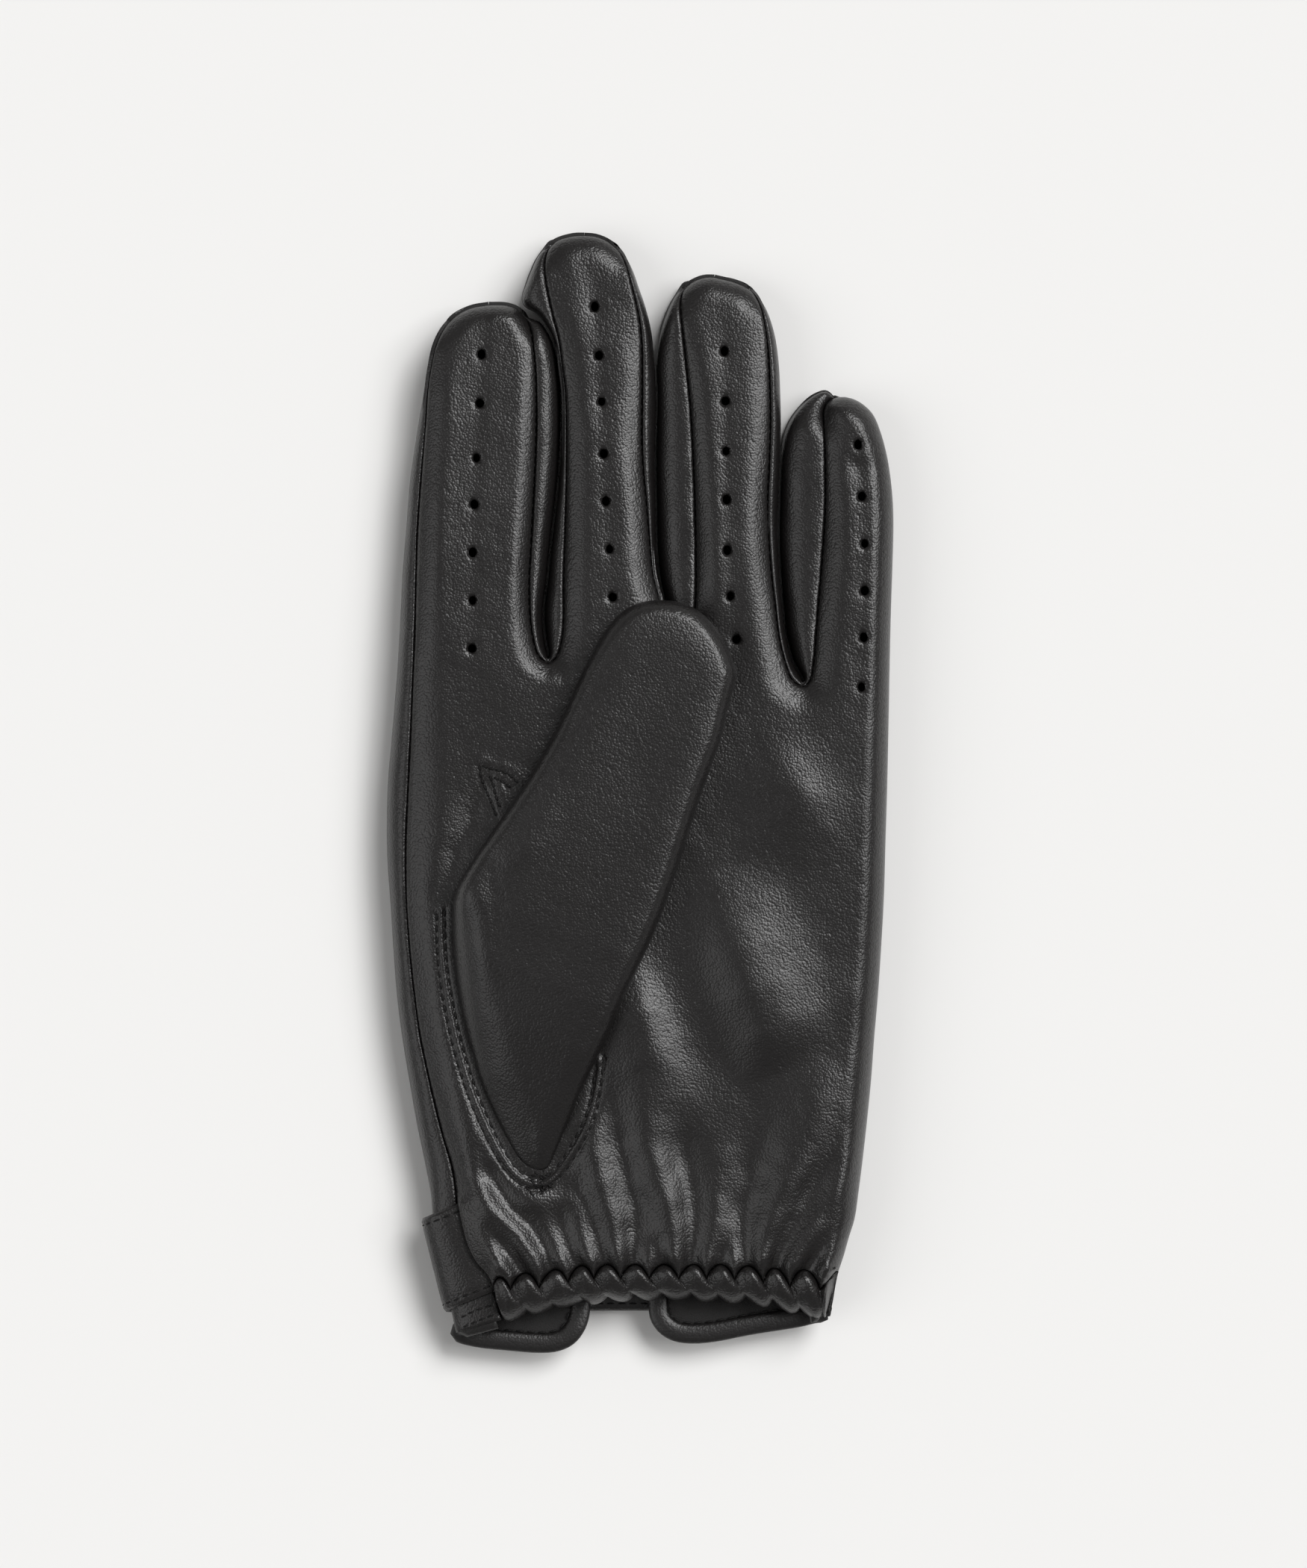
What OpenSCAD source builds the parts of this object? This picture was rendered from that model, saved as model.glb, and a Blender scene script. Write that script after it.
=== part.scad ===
// Left-hand leather driving glove, lying on its back with the palm up.
// Fingers point along +Y, the thumb is folded over the palm, and the wrist opening faces -Y.
// Every wall is a sheet of leather: flat faces are cut to a plan outline and follow a side profile.

/* [Leather] */
// Thickness of the leather
leather = 1.0; // [0.8:0.1:1.2]
// Gap left between two pieces that move past each other
gap = 0.3; // [0.3:0.05:0.5]

/* [Hand] */
// Depth of the hand, from the back's outer face to the palm's outer face
hand_depth = 14; // [13:0.5:16]
// Depth of the fingers at their bend
finger_depth = 12.5; // [12:0.5:13]
// How far the back is lifted at the wrist, to leave room for the strap under it
cuff_lift = 4.6; // [4.4:0.1:4.8]

/* [Fingers] */
// Where the index, middle and ring fingers bend, along Y
long_bend_y = 50; // [46:1:52]
// Where the little finger bends, along Y
little_bend_y = 40; // [38:1:42]
// Height of the fingers' bend axis
bend_z = 8; // [7:0.5:9]
// How far a finger curls
curl_deg = 90; // [60:5:90]

/* [Thumb] */
// Lean of the thumb away from +Y, across the palm
thumb_lean = 21.4; // [20:0.2:22]
// Depth of the thumb
thumb_depth = 9.6; // [9:0.2:10]
// Height of the thumb's bend axis over its inner face
thumb_bend_rise = 5; // [4:0.5:6]
// How far the thumb lifts from the palm
thumb_deg = 60; // [40:5:60]

/* [Vents] */
// Radius of a vent hole
vent_r = 0.75; // [0.5:0.05:1]
// Half width of a knuckle hole
knuckle_rx = 5.5; // [4:0.5:6.5]
// Half length of a knuckle hole
knuckle_ry = 8; // [6:0.5:9]
// Half width of the round part of the keyhole opening
keyhole_rx = 13; // [11:0.5:14]
// Half length of the round part of the keyhole opening
keyhole_ry = 16; // [14:0.5:17]

/* [Strap] */
// Width of the wrist strap
strap_w = 18.8; // [17:0.2:19]
// Thickness of the strap, two leathers sewn together
strap_t = 1.6; // [1.4:0.1:1.8]
// Where the strap's press stud sits, along X
snap_x = 13; // [11:0.5:14]
// Radius of the press stud's cap
cap_r = 6; // [5:0.25:7]

/* [Hidden] */

black = [0.09, 0.085, 0.085];
suede = [0.14, 0.13, 0.13];
thread = [0.05, 0.05, 0.05];
metal = [0.25, 0.25, 0.26];

reach = 120;        // longer than the glove's half length or width
arc_steps = 12;     // segments in a fingertip or a quarter round

// Fingers: side points from the bend to the tip on the left and the right, and the tip's Y
LEFT = 0;
RIGHT = 1;
TIP_Y = 2;
BEND_Y = 3;
VENTS = 4;
index = [
    [[-43.8, long_bend_y], [-40.8, 76]],
    [[-15.4, long_bend_y], [-15.4, 76]],
    92, long_bend_y,
    [[-29.7, 82], [-30, 73], [-30.6, 63], [-31, 54], [-31.2, 45], [-31.3, 36], [-31.4, 27]]
];
middle = [
    [[-14.9, long_bend_y], [-14.9, 81], [-17, 86.5], [-19.7, 90.5], [-21.3, 93.5]],
    [[2.9, long_bend_y], [2.9, 80]],
    105, long_bend_y,
    [[-8.5, 91], [-7.7, 82], [-7.2, 73], [-6.7, 63.5], [-6.3, 54.5], [-5.7, 45.5], [-5, 36.5]]
];
ring = [
    [[3.4, long_bend_y], [3.4, 80]],
    [[26, long_bend_y], [26.4, 72]],
    97.3, long_bend_y,
    [[16, 83], [16.1, 73.5], [16.1, 64], [16.1, 55], [16.3, 45.5], [16.9, 37], [18, 28.5]]
];
little = [
    [[27.4, little_bend_y], [26.9, 60]],
    [[47.4, little_bend_y], [47.7, 56]],
    74.8, little_bend_y,
    [[41, 65], [41.6, 55.5], [42, 46.5], [42, 38], [41.8, 29], [41.4, 19.5]]
];
function clear_vents(f) = [for (p = f[VENTS]) if (abs(p.y - f[BEND_Y]) > 6) p];
all_vents = concat(clear_vents(index), clear_vents(middle), clear_vents(ring), clear_vents(little));

// Where the fingers part
crotch_index_middle = [-16.2, 24.5];
crotch_middle_ring = [3.6, 24];
crotch_ring_little = [28.8, 20.5];
little_from_x = 27.15;  // between the ring and the little finger at their bends

// The hand's left and right edges, from the wrist to the bends
hand_left = [
    [-34, -98], [-38.5, -80], [-42.2, -60], [-45.4, -35], [-47.6, -8], [-47.7, 2], [-46, 20],
    [-43.8, long_bend_y]
];
hand_right = [
    [36.5, -98], [40, -82], [42.8, -60], [44.8, -38], [46, -12], [46.8, 15],
    [47.4, little_bend_y]
];
// The palm's gathered edge at the wrist
hem_line = [[-32, -97.8], [-24, -98], [-12, -95.8], [2, -94.8], [20, -95.5], [35, -97.6]];
elastic_w = 6;
elastic_t = 0.8;
elastic_top_y = -87;

// Back of the wrist: two flaps parted by a keyhole
flap_r = 7.5;
left_flap = [-34.4, -102];
left_flap_low = [-33, -104];
left_flap_round = [-17.3, -105 + flap_r];
right_flap_round = [9.5, -103.3 + flap_r];
right_flap = [36, -99];
keyhole_x = (left_flap_round.x + right_flap_round.x) / 2;
keyhole_y = -64;
slot_half = (right_flap_round.x - left_flap_round.x) / 2 - flap_r;
binding_w = 3;
binding_t = 0.8;
knuckles = [[-31, 4], [-9, 8], [13, 6], [33.5, -1]];

// Side profiles: [y, z] along the outer faces
lift_from_y = -66;
lift_to_y = -78.6;
hand_top = [[-106, hand_depth], [10, hand_depth], [52, finger_depth]];
hand_bottom = [[-106, cuff_lift], [lift_to_y, cuff_lift], [lift_from_y, 0], [52, 0]];

// Thumb, in its own frame: +Y from its bend to its tip, +X across it
thumb_bend = [-17.5, -26.4];
thumb_floor = hand_depth + 0.4;
thumb_z = thumb_floor + thumb_bend_rise;
thumb = [
    [[-18.8, 0], [-13.4, 27], [-10.7, 52]],
    [[18.4, 0], [17.6, 40], [17, 48]],
    66.7
];
root_seam = [
    [-18.8, -gap / 2], [-15, -9.8], [-8.3, -21.2], [0.5, -32.8], [8.9, -40.7], [13, -42],
    [16.4, -40.5], [17, -18.8], [18.4, -gap / 2]
];
root_crest = [[-14, -gap / 2], [-6, -12], [8, -17], [13.5, -12], [14, -gap / 2]];
throat = [
    [-16, -2], [-12.5, -10], [-6.3, -21], [2, -32], [9.4, -38.5], [12.8, -39.5], [14, -37],
    [14.5, -18], [15.5, -2]
];

// Wrist strap and press stud
strap_y = -97.8 + strap_w / 2;
strap_hinge_x = -12;
strap_low = 1.4;
snap_r = 1.7;
snap_clear = 0.15;
socket_r = 5;
socket_t = 1.1;
stud_base_r = 4.5;
stud_base_t = 0.3;
stud_reach = 1.1;
shank_r = 1.4;
shank_clear = 0.1;
cap_t = 1.2;
flap_inner_z = cuff_lift + leather;

function reversed(list) = [for (i = [len(list) - 1:-1:0]) list[i]];
function inset_x(list, d) = [for (p = list) [p.x + d, p.y]];
function ellipse_points(c, rx, ry, n = 28) =
    [for (i = [0:n - 1]) c + [rx * cos(360 * i / n), ry * sin(360 * i / n)]];
function arc_points(c, r, a0, a1) =
    [for (i = [0:arc_steps]) let (a = a0 + (a1 - a0) * i / arc_steps) c + r * [cos(a), sin(a)]];
function last(list) = list[len(list) - 1];

// A rounded tip from the left side's last point over to the right side's last point
function tip_points(l, r, tip_y) = [
    for (i = [1:arc_steps - 1])
        let (t = i / arc_steps, base = l.y + (r.y - l.y) * t)
        [(l.x + r.x) / 2 - (r.x - l.x) / 2 * cos(180 * t), base + (tip_y - base) * sin(180 * t)]
];

// Plan outline of a finger or the thumb, drawn in by d for the inside of its walls
function finger_outline(f, d = 0) =
    let (l = inset_x(f[LEFT], d), r = inset_x(f[RIGHT], -d))
    concat(l, tip_points(last(l), last(r), f[TIP_Y] - d), reversed(r));

// Side profile of a sheet whose outer face follows a line and whose inside lies t from it
function band(line, t) = concat(line, reversed([for (p = line) p - [0, t]]));
// Side profile of the space between a lower and an upper sheet
function hollow(lower, upper) =
    concat([for (p = lower) p + [0, leather]], reversed([for (p = upper) p - [0, leather]]));

function finger_top(f) = [
    [f[BEND_Y] - 1, lookup(f[BEND_Y], hand_top)], [f[TIP_Y] - 14, finger_depth - 1],
    [f[TIP_Y] - 4, finger_depth - 3], [f[TIP_Y] + 1, finger_depth - 6]
];
function finger_bottom(f) = [
    [f[BEND_Y] - 1, 0], [f[TIP_Y] - 10, 0], [f[TIP_Y] - 3, 1], [f[TIP_Y] + 1, 3]
];
thumb_top = [
    [-1, thumb_depth], [thumb[TIP_Y] - 12, thumb_depth - 0.6], [thumb[TIP_Y] - 3, thumb_depth - 2.4],
    [thumb[TIP_Y] + 1, thumb_depth - 4]
];
thumb_bottom = [[-1, 0], [thumb[TIP_Y] - 4, 0], [thumb[TIP_Y] + 1, 1]];

// The edge of the back at the wrist: left flap, keyhole, right flap, drawn in by d
function cuff_edge(d = 0) =
    let (c = [keyhole_x, keyhole_y], rx = keyhole_rx + d, ry = keyhole_ry + d,
         a = asin((slot_half + d) / rx), turn = 360 - 2 * a, n = 3 * arc_steps)
    concat(
        [left_flap + [d, 0], left_flap_low + [d, d]],
        arc_points(left_flap_round, flap_r - d, -90, 0),
        [for (i = [0:n]) let (t = a + turn * i / n) c - [rx * sin(t), ry * cos(t)]],
        arc_points(right_flap_round, flap_r - d, 180, 270),
        [right_flap + [-d, d]]
    );

// The hand's outline above the wrist, with a slot down to each crotch
hand_fingers = concat(
    hand_left,
    [index[RIGHT][0], crotch_index_middle, middle[LEFT][0], middle[RIGHT][0], crotch_middle_ring,
     ring[LEFT][0], ring[RIGHT][0], crotch_ring_little, little[LEFT][0]],
    reversed(hand_right)
);

module plan(points) translate([0, 0, -reach]) linear_extrude(2 * reach) polygon(points);

module profile(points) translate([-reach, 0, 0]) rotate([90, 0, 90]) linear_extrude(2 * reach) polygon(points);

module sheet_part(outline, line, t) intersection() {
    plan(outline);
    profile(band(line, t));
}

// Everything beyond a bend: upright below its axis, and leaning back above it so that it can turn
module beyond_bend(y, z, turn) {
    slope = tan(turn / 2 + 1);
    profile([
        [y + gap / 2, -reach], [y + gap / 2, z], [y + gap / 2 + slope * reach, z + reach],
        [y + 3 * reach, z + reach], [y + 3 * reach, -reach]
    ]);
}

// Everything before a bend, the mirror of the above, over the plan span x0 to x1
module before_bend(y, z, turn, x0, x1) {
    slope = tan(turn / 2 + 1);
    translate([x0, 0, 0]) rotate([90, 0, 90]) linear_extrude(x1 - x0) polygon([
        [y - gap / 2, -reach], [y - gap / 2, z], [y - gap / 2 - slope * reach, z + reach],
        [y - 3 * reach, z + reach], [y - 3 * reach, -reach]
    ]);
}

// The hand side of all four bends; each finger owns a span along X
module hand_zone() {
    before_bend(long_bend_y, bend_z, curl_deg, -reach, little_from_x);
    before_bend(little_bend_y, bend_z, curl_deg, little_from_x, reach);
}

module in_hand() intersection() {
    children();
    hand_zone();
}

module in_finger(f) intersection() {
    children();
    beyond_bend(f[BEND_Y], bend_z, curl_deg);
}

module vent_holes(points) for (p = points)
    translate([p.x, p.y, bend_z - 2]) cylinder(r = vent_r, h = hand_depth, $fn = 24);

// --- hand ---

module palm_panel() color(black) in_hand() difference() {
    sheet_part(concat([for (p = reversed(hem_line)) p], hand_fingers), hand_top, leather);
    vent_holes(all_vents);
    place_thumb() plan(throat);
}

module back_panel() color(black) in_hand() difference() {
    sheet_part(concat(reversed(cuff_edge()), hand_fingers), hand_bottom, -leather);
    for (k = knuckles) plan(ellipse_points(k, knuckle_rx, knuckle_ry));
    translate([snap_x, strap_y, 0]) cylinder(r = shank_r + shank_clear, h = hand_depth / 2, $fn = 32);
}

module side_panel(edge, d) color(black) in_hand() intersection() {
    plan(concat(edge, reversed(inset_x(edge, d))));
    profile(hollow(hand_bottom, hand_top));
}

// The lower end of a fourchette, round the crotch between two fingers
module web(l, crotch, r) color(black) in_hand() intersection() {
    plan([
        l - [leather, 0], l, crotch, r, r + [leather, 0],
        crotch + [leather, -leather], crotch + [-leather, -leather]
    ]);
    profile(hollow(hand_bottom, hand_top));
}

module palm_hem() color(black) translate([0, 0, hand_depth - leather - elastic_t])
    linear_extrude(elastic_t) polygon(concat(hem_line, [[35, elastic_top_y - elastic_w - 0.2],
        [-32, elastic_top_y - elastic_w - 0.2]]));

module wrist_elastic() color(thread)
    translate([hem_line[0].x, elastic_top_y - elastic_w, hand_depth - leather - elastic_t])
    cube([last(hem_line).x - hem_line[0].x, elastic_w, elastic_t]);

// Leather strip sewn inside the cuff's edge and round the keyhole
module keyhole_binding() color(black)
    sheet_part(concat(cuff_edge(), reversed(cuff_edge(binding_w))),
        [for (p = hand_bottom) p + [0, leather]], -binding_t);

module knuckle_bindings() color(black) for (k = knuckles) difference() {
    translate([0, 0, leather]) linear_extrude(binding_t)
        polygon(ellipse_points(k, knuckle_rx + binding_w / 2, knuckle_ry + binding_w / 2));
    plan(ellipse_points(k, knuckle_rx, knuckle_ry));
}

// --- fingers ---

module palm_face(f) color(black) in_finger(f) difference() {
    sheet_part(finger_outline(f), finger_top(f), leather);
    vent_holes(clear_vents(f));
}

module back_face(f) color(black) in_finger(f)
    sheet_part(finger_outline(f), finger_bottom(f), -leather);

// Wall round a finger between its palm and back faces, split at the middle of the tip
module finger_wall(f, side) color(black) in_finger(f) intersection() {
    mid = (last(f[LEFT]).x + last(f[RIGHT]).x) / 2;
    difference() {
        plan(finger_outline(f));
        plan(finger_outline(f, leather));
    }
    profile(hollow(finger_bottom(f), finger_top(f)));
    translate([side == LEFT ? mid - reach : mid, -reach, -reach]) cube([reach, 3 * reach, 2 * reach]);
}

// --- thumb ---

module place_thumb() translate(thumb_bend) rotate(-thumb_lean) children();

module in_thumb() place_thumb() intersection() {
    translate([0, 0, thumb_floor]) children();
    beyond_bend(0, thumb_z, thumb_deg);
}

module thumb_outer_face() color(black) in_thumb() sheet_part(finger_outline(thumb), thumb_top, leather);

module thumb_inner_face() color(black) in_thumb() sheet_part(finger_outline(thumb), thumb_bottom, -leather);

module thumb_edge() color(black) in_thumb() intersection() {
    difference() {
        plan(finger_outline(thumb));
        plan(finger_outline(thumb, leather));
    }
    profile(hollow(thumb_bottom, thumb_top));
}

// The thumb's root: a hood sewn round the thumb hole, open below and towards the thumb
module thumb_root() color(black) place_thumb() intersection() {
    translate([0, 0, hand_depth]) difference() {
        hood(0);
        hood(leather);
    }
    before_bend(0, thumb_z, thumb_deg, -reach, reach);
}

module hood(d) hull() {
    shrink = 1 - d / 18;
    translate([0, d > 0 ? 1 : 0, d > 0 ? -0.1 : 0]) scale([shrink, shrink, 1]) linear_extrude(0.1) polygon(root_seam);
    translate([0, d > 0 ? 1 : 0, thumb_depth - d]) scale([shrink, shrink, 1]) linear_extrude(0.3) polygon(root_crest);
}

module thread_bar(a, b) {
    v = b - a;
    translate([a.x, a.y, hand_depth]) rotate(atan2(v.y, v.x)) translate([0, -0.25, 0]) cube([norm(v), 0.5, 0.35]);
}

// Thread that locks both ends of the thumb hole
module thumb_bar_tacks() color(thread) {
    upper = [[-30, 5], [-24.6, 1.2], [-27.4, -4.5]];
    for (i = [0:2]) thread_bar(upper[i] + [0, 0], upper[(i + 1) % 3] * 0.82 + upper[i] * 0.18);
    for (i = [0:2]) thread_bar([-21 + 1.5 * i, -73.6 - 0.5 * i], [-17.5 + 1.5 * i, -75 - 0.5 * i]);
}

// --- strap ---

module strap_root() color(black) {
    translate([0, 0, cuff_lift - strap_t]) linear_extrude(strap_t) polygon([
        [-39.5, strap_y + strap_w / 2], [strap_hinge_x - gap, strap_y + strap_w / 2],
        [strap_hinge_x - gap, strap_y - strap_w / 2], [-35, strap_y - strap_w / 2]
    ]);
    translate([0, 0, cuff_lift - strap_t]) linear_extrude(hand_depth - cuff_lift) polygon([
        [-40.6, strap_y + strap_w / 2], [-39.4, strap_y + strap_w / 2 - 0.4],
        [-34.8, strap_y - strap_w / 2], [-36, strap_y - strap_w / 2]
    ]);
}

module strap() color(black) difference() {
    translate([0, 0, strap_low]) linear_extrude(strap_t) polygon(concat(
        [[strap_hinge_x, strap_y + strap_w / 2], [strap_hinge_x, strap_y - strap_w / 2]],
        arc_points([snap_x + 1, strap_y], strap_w / 2, -90, 90)
    ));
    translate([snap_x, strap_y, 0]) cylinder(r = shank_r + shank_clear, h = hand_depth, $fn = 32);
}

module at_snap(z) translate([snap_x, strap_y, z]) children();

module snap_cap() color(metal) {
    at_snap(strap_low - cap_t) rotate_extrude($fn = 64)
        polygon([[0, 0], [cap_r * 0.6, 0], [cap_r * 0.9, cap_t * 0.4], [cap_r, cap_t], [0, cap_t]]);
    at_snap(strap_low) cylinder(r = shank_r, h = strap_t, $fn = 32);
}

module snap_socket() color(metal) at_snap(strap_low + strap_t) difference() {
    cylinder(r = socket_r, h = socket_t, $fn = 48);
    translate([0, 0, -1]) cylinder(r = snap_r + snap_clear, h = socket_t + 2, $fn = 48);
}

module snap_stud() color(metal) {
    at_snap(cuff_lift - stud_base_t - stud_reach) cylinder(r = snap_r, h = stud_reach, $fn = 48);
    at_snap(cuff_lift - stud_base_t) cylinder(r = stud_base_r, h = stud_base_t, $fn = 48);
    at_snap(cuff_lift) cylinder(r = shank_r, h = leather + binding_t, $fn = 32);
}

module snap_post() color(metal) at_snap(flap_inner_z) difference() {
    cylinder(r = stud_base_r, h = binding_t, $fn = 48);
    translate([0, 0, -1]) cylinder(r = shank_r + shank_clear, h = binding_t + 2, $fn = 32);
}

palm_panel();
back_panel();
side_panel(hand_left, leather);  // index_side_panel
side_panel(hand_right, -leather);  // little_side_panel
web(index[RIGHT][0], crotch_index_middle, middle[LEFT][0]);  // web_index_middle
web(middle[RIGHT][0], crotch_middle_ring, ring[LEFT][0]);  // web_middle_ring
web(ring[RIGHT][0], crotch_ring_little, little[LEFT][0]);  // web_ring_little
palm_hem();
wrist_elastic();
keyhole_binding();
knuckle_bindings();
thumb_root();
thumb_bar_tacks();
palm_face(index);  // index_palm_face
back_face(index);  // index_back_face
finger_wall(index, LEFT);  // index_side_wall
finger_wall(index, RIGHT);  // index_fourchette
palm_face(middle);  // middle_palm_face
back_face(middle);  // middle_back_face
finger_wall(middle, LEFT);  // middle_fourchette_left
finger_wall(middle, RIGHT);  // middle_fourchette_right
palm_face(ring);  // ring_palm_face
back_face(ring);  // ring_back_face
finger_wall(ring, LEFT);  // ring_fourchette_left
finger_wall(ring, RIGHT);  // ring_fourchette_right
palm_face(little);  // little_palm_face
back_face(little);  // little_back_face
finger_wall(little, LEFT);  // little_fourchette
finger_wall(little, RIGHT);  // little_side_wall
thumb_outer_face();
thumb_inner_face();
thumb_edge();
strap_root();
strap();
snap_cap();
snap_socket();
snap_stud();
snap_post();
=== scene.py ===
"""Leather driving glove: the looks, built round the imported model. Lengths here are millimetres."""

import math

import bpy
import numpy as np
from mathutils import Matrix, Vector, kdtree, noise
from mathutils.geometry import delaunay_2d_cdt


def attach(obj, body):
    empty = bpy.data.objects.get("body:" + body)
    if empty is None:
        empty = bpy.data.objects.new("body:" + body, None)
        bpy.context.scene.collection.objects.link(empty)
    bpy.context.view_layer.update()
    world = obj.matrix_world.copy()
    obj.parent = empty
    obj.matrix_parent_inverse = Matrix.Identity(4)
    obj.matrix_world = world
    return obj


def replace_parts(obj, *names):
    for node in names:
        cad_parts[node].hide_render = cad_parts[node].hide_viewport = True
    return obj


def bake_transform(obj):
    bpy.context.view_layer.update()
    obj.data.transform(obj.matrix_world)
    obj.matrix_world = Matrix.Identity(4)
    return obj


MM = 0.001
# Spacing of the points in the panels' meshes, then on coarse, ordinary and fine lines
GRID_STEP = 0.75
COARSE_STEP = 0.5
LINE_STEP = 0.45
FINE_STEP = 0.3
LEATHER = 0.7

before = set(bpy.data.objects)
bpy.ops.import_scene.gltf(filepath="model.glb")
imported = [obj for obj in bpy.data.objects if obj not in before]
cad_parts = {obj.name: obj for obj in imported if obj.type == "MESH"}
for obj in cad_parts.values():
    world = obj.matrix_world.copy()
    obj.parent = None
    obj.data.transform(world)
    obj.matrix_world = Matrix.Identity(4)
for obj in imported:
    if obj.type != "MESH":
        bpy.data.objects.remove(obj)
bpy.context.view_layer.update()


# ---------------------------------------------------------------- lines

def smooth_line(points, step, closed=False):
    """Centripetal Catmull-Rom line through the points, in even steps."""
    p = np.array(points, float)
    if closed:
        ext = np.vstack([p[-1], p, p[0], p[1]])
    else:
        ext = np.vstack([2 * p[0] - p[1], p, 2 * p[-1] - p[-2]])
    dense = []
    for i in range(1, len(ext) - 2):
        dense.append(span(ext[i - 1], ext[i], ext[i + 1], ext[i + 2]))
    if not closed:
        dense.append(p[-1][None, :])
    return even(np.vstack(dense), step, closed)


def span(p0, p1, p2, p3):
    """Points of the curve from p1 up to p2."""
    d = [max(np.linalg.norm(b - a), 1e-6) ** 0.5 for a, b in ((p0, p1), (p1, p2), (p2, p3))]
    m1 = (p1 - p0) / d[0] - (p2 - p0) / (d[0] + d[1]) + (p2 - p1) / d[1]
    m2 = (p2 - p1) / d[1] - (p3 - p1) / (d[1] + d[2]) + (p3 - p2) / d[2]
    m1, m2 = m1 * d[1], m2 * d[1]
    t = np.linspace(0, 1, 20, endpoint=False)[:, None]
    a = 2 * t**3 - 3 * t**2 + 1
    b = t**3 - 2 * t**2 + t
    c = -2 * t**3 + 3 * t**2
    return a * p1 + b * m1 + c * p2 + (t**3 - t**2) * m2


def even(line, step, closed=False, count=None):
    """The same line with points an even distance apart."""
    q = np.vstack([line, line[:1]]) if closed else line
    s = np.concatenate([[0], np.cumsum(np.linalg.norm(np.diff(q, axis=0), axis=1))])
    n = count or max(2, int(round(s[-1] / step)) + 1)
    at = np.linspace(0, s[-1], n)
    out = np.stack([np.interp(at, s, q[:, k]) for k in range(q.shape[1])], axis=1)
    return out[:-1] if closed else out


def side_normals(line, closed=False):
    """Unit normals in plan, to the left of the way the line runs."""
    if closed:
        d = np.roll(line, -1, axis=0) - np.roll(line, 1, axis=0)
    else:
        d = np.gradient(line, axis=0)
    d = d[:, :2] / np.maximum(np.linalg.norm(d[:, :2], axis=1), 1e-9)[:, None]
    return np.stack([-d[:, 1], d[:, 0]], axis=1)


def step01(t):
    """Rises smoothly from 0 to 1 as t does."""
    t = np.clip(t, 0, 1)
    return t * t * (3 - 2 * t)


def quarter(u):
    """Rises from 0 to 1 as a quarter circle."""
    return np.sqrt(np.clip(1 - (1 - np.clip(u, 0, 1)) ** 2, 0, 1))


def near_line(xy, line):
    """Distance from each point to a polyline, and where along it in point numbers."""
    best = np.full(len(xy), 1e9)
    where = np.zeros(len(xy))
    for i in range(len(line) - 1):
        a, b = line[i, :2], line[i + 1, :2]
        ab = b - a
        t = np.clip(((xy - a) @ ab) / max(ab @ ab, 1e-12), 0, 1)
        d = np.linalg.norm(xy - (a + t[:, None] * ab), axis=1)
        hit = d < best
        best[hit] = d[hit]
        where[hit] = i + t[hit]
    return best, where


def ridge(xy, points):
    """Height of a fold along points given as (x, y, height, half width)."""
    line = np.array(points, float)
    reach = line[:, 3].max() * 3
    lo, hi = line[:, :2].min(0) - reach, line[:, :2].max(0) + reach
    out = np.zeros(len(xy))
    inside = np.all((xy > lo) & (xy < hi), axis=1)
    if not inside.any():
        return out
    d, where = near_line(xy[inside], line)
    n = np.arange(len(line))
    h = np.interp(where, n, line[:, 2])
    w = np.interp(where, n, line[:, 3])
    out[inside] = h * np.exp(-((d / w) ** 2))
    return out


def swell(xy, points):
    """A broad fold along points given as (x, y, height, width on its right, width on its left)."""
    line = np.array(points, float)
    d, where = near_line(xy, line)
    n = np.arange(len(line))
    i = np.clip(where.astype(int), 0, len(line) - 2)
    along = line[i + 1, :2] - line[i, :2]
    off = xy - line[i, :2]
    right = along[:, 0] * off[:, 1] - along[:, 1] * off[:, 0] < 0
    width = np.where(right, np.interp(where, n, line[:, 3]), np.interp(where, n, line[:, 4]))
    return np.interp(where, n, line[:, 2]) * np.exp(-((d / width) ** 2))


def bulge(xy, x, y, rx, ry, height, turn=0.0):
    """A rounded rise, or a hollow if its height is below zero."""
    a = math.radians(turn)
    dx, dy = xy[:, 0] - x, xy[:, 1] - y
    u = (dx * math.cos(a) + dy * math.sin(a)) / rx
    v = (dy * math.cos(a) - dx * math.sin(a)) / ry
    return height * np.exp(-(u * u + v * v))


def wobble(xyz, scale, height, seed=0.0):
    """Smooth seeded noise over points."""
    out = [noise.noise(Vector((p[0] / scale + seed, p[1] / scale, p[2] / scale - seed))) for p in xyz]
    return height * np.array(out)


def ellipse(x, y, rx, ry, n=48):
    """Points round an ellipse, anticlockwise from its right."""
    a = np.linspace(0, 2 * math.pi, n, endpoint=False)
    return np.stack([x + rx * np.cos(a), y + ry * np.sin(a)], axis=1)


def with_columns(line, *columns):
    """A line with more columns after its own, each an array or one number."""
    filled = [np.broadcast_to(np.asarray(c, float), len(line)) for c in columns]
    return np.column_stack([line] + filled)


# ---------------------------------------------------------------- meshes


def mesh_piece(name, verts, faces, material):
    """A smooth mesh from points in millimetres, with its material."""
    mesh = bpy.data.meshes.new(name)
    mesh.from_pydata([tuple(v) for v in np.asarray(verts, float) * MM], [], faces)
    mesh.validate()
    mesh.polygons.foreach_set("use_smooth", [True] * len(mesh.polygons))
    mesh.materials.append(material)
    mesh.update()
    piece = bpy.data.objects.new(name, mesh)
    bpy.context.scene.collection.objects.link(piece)
    return piece


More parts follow.
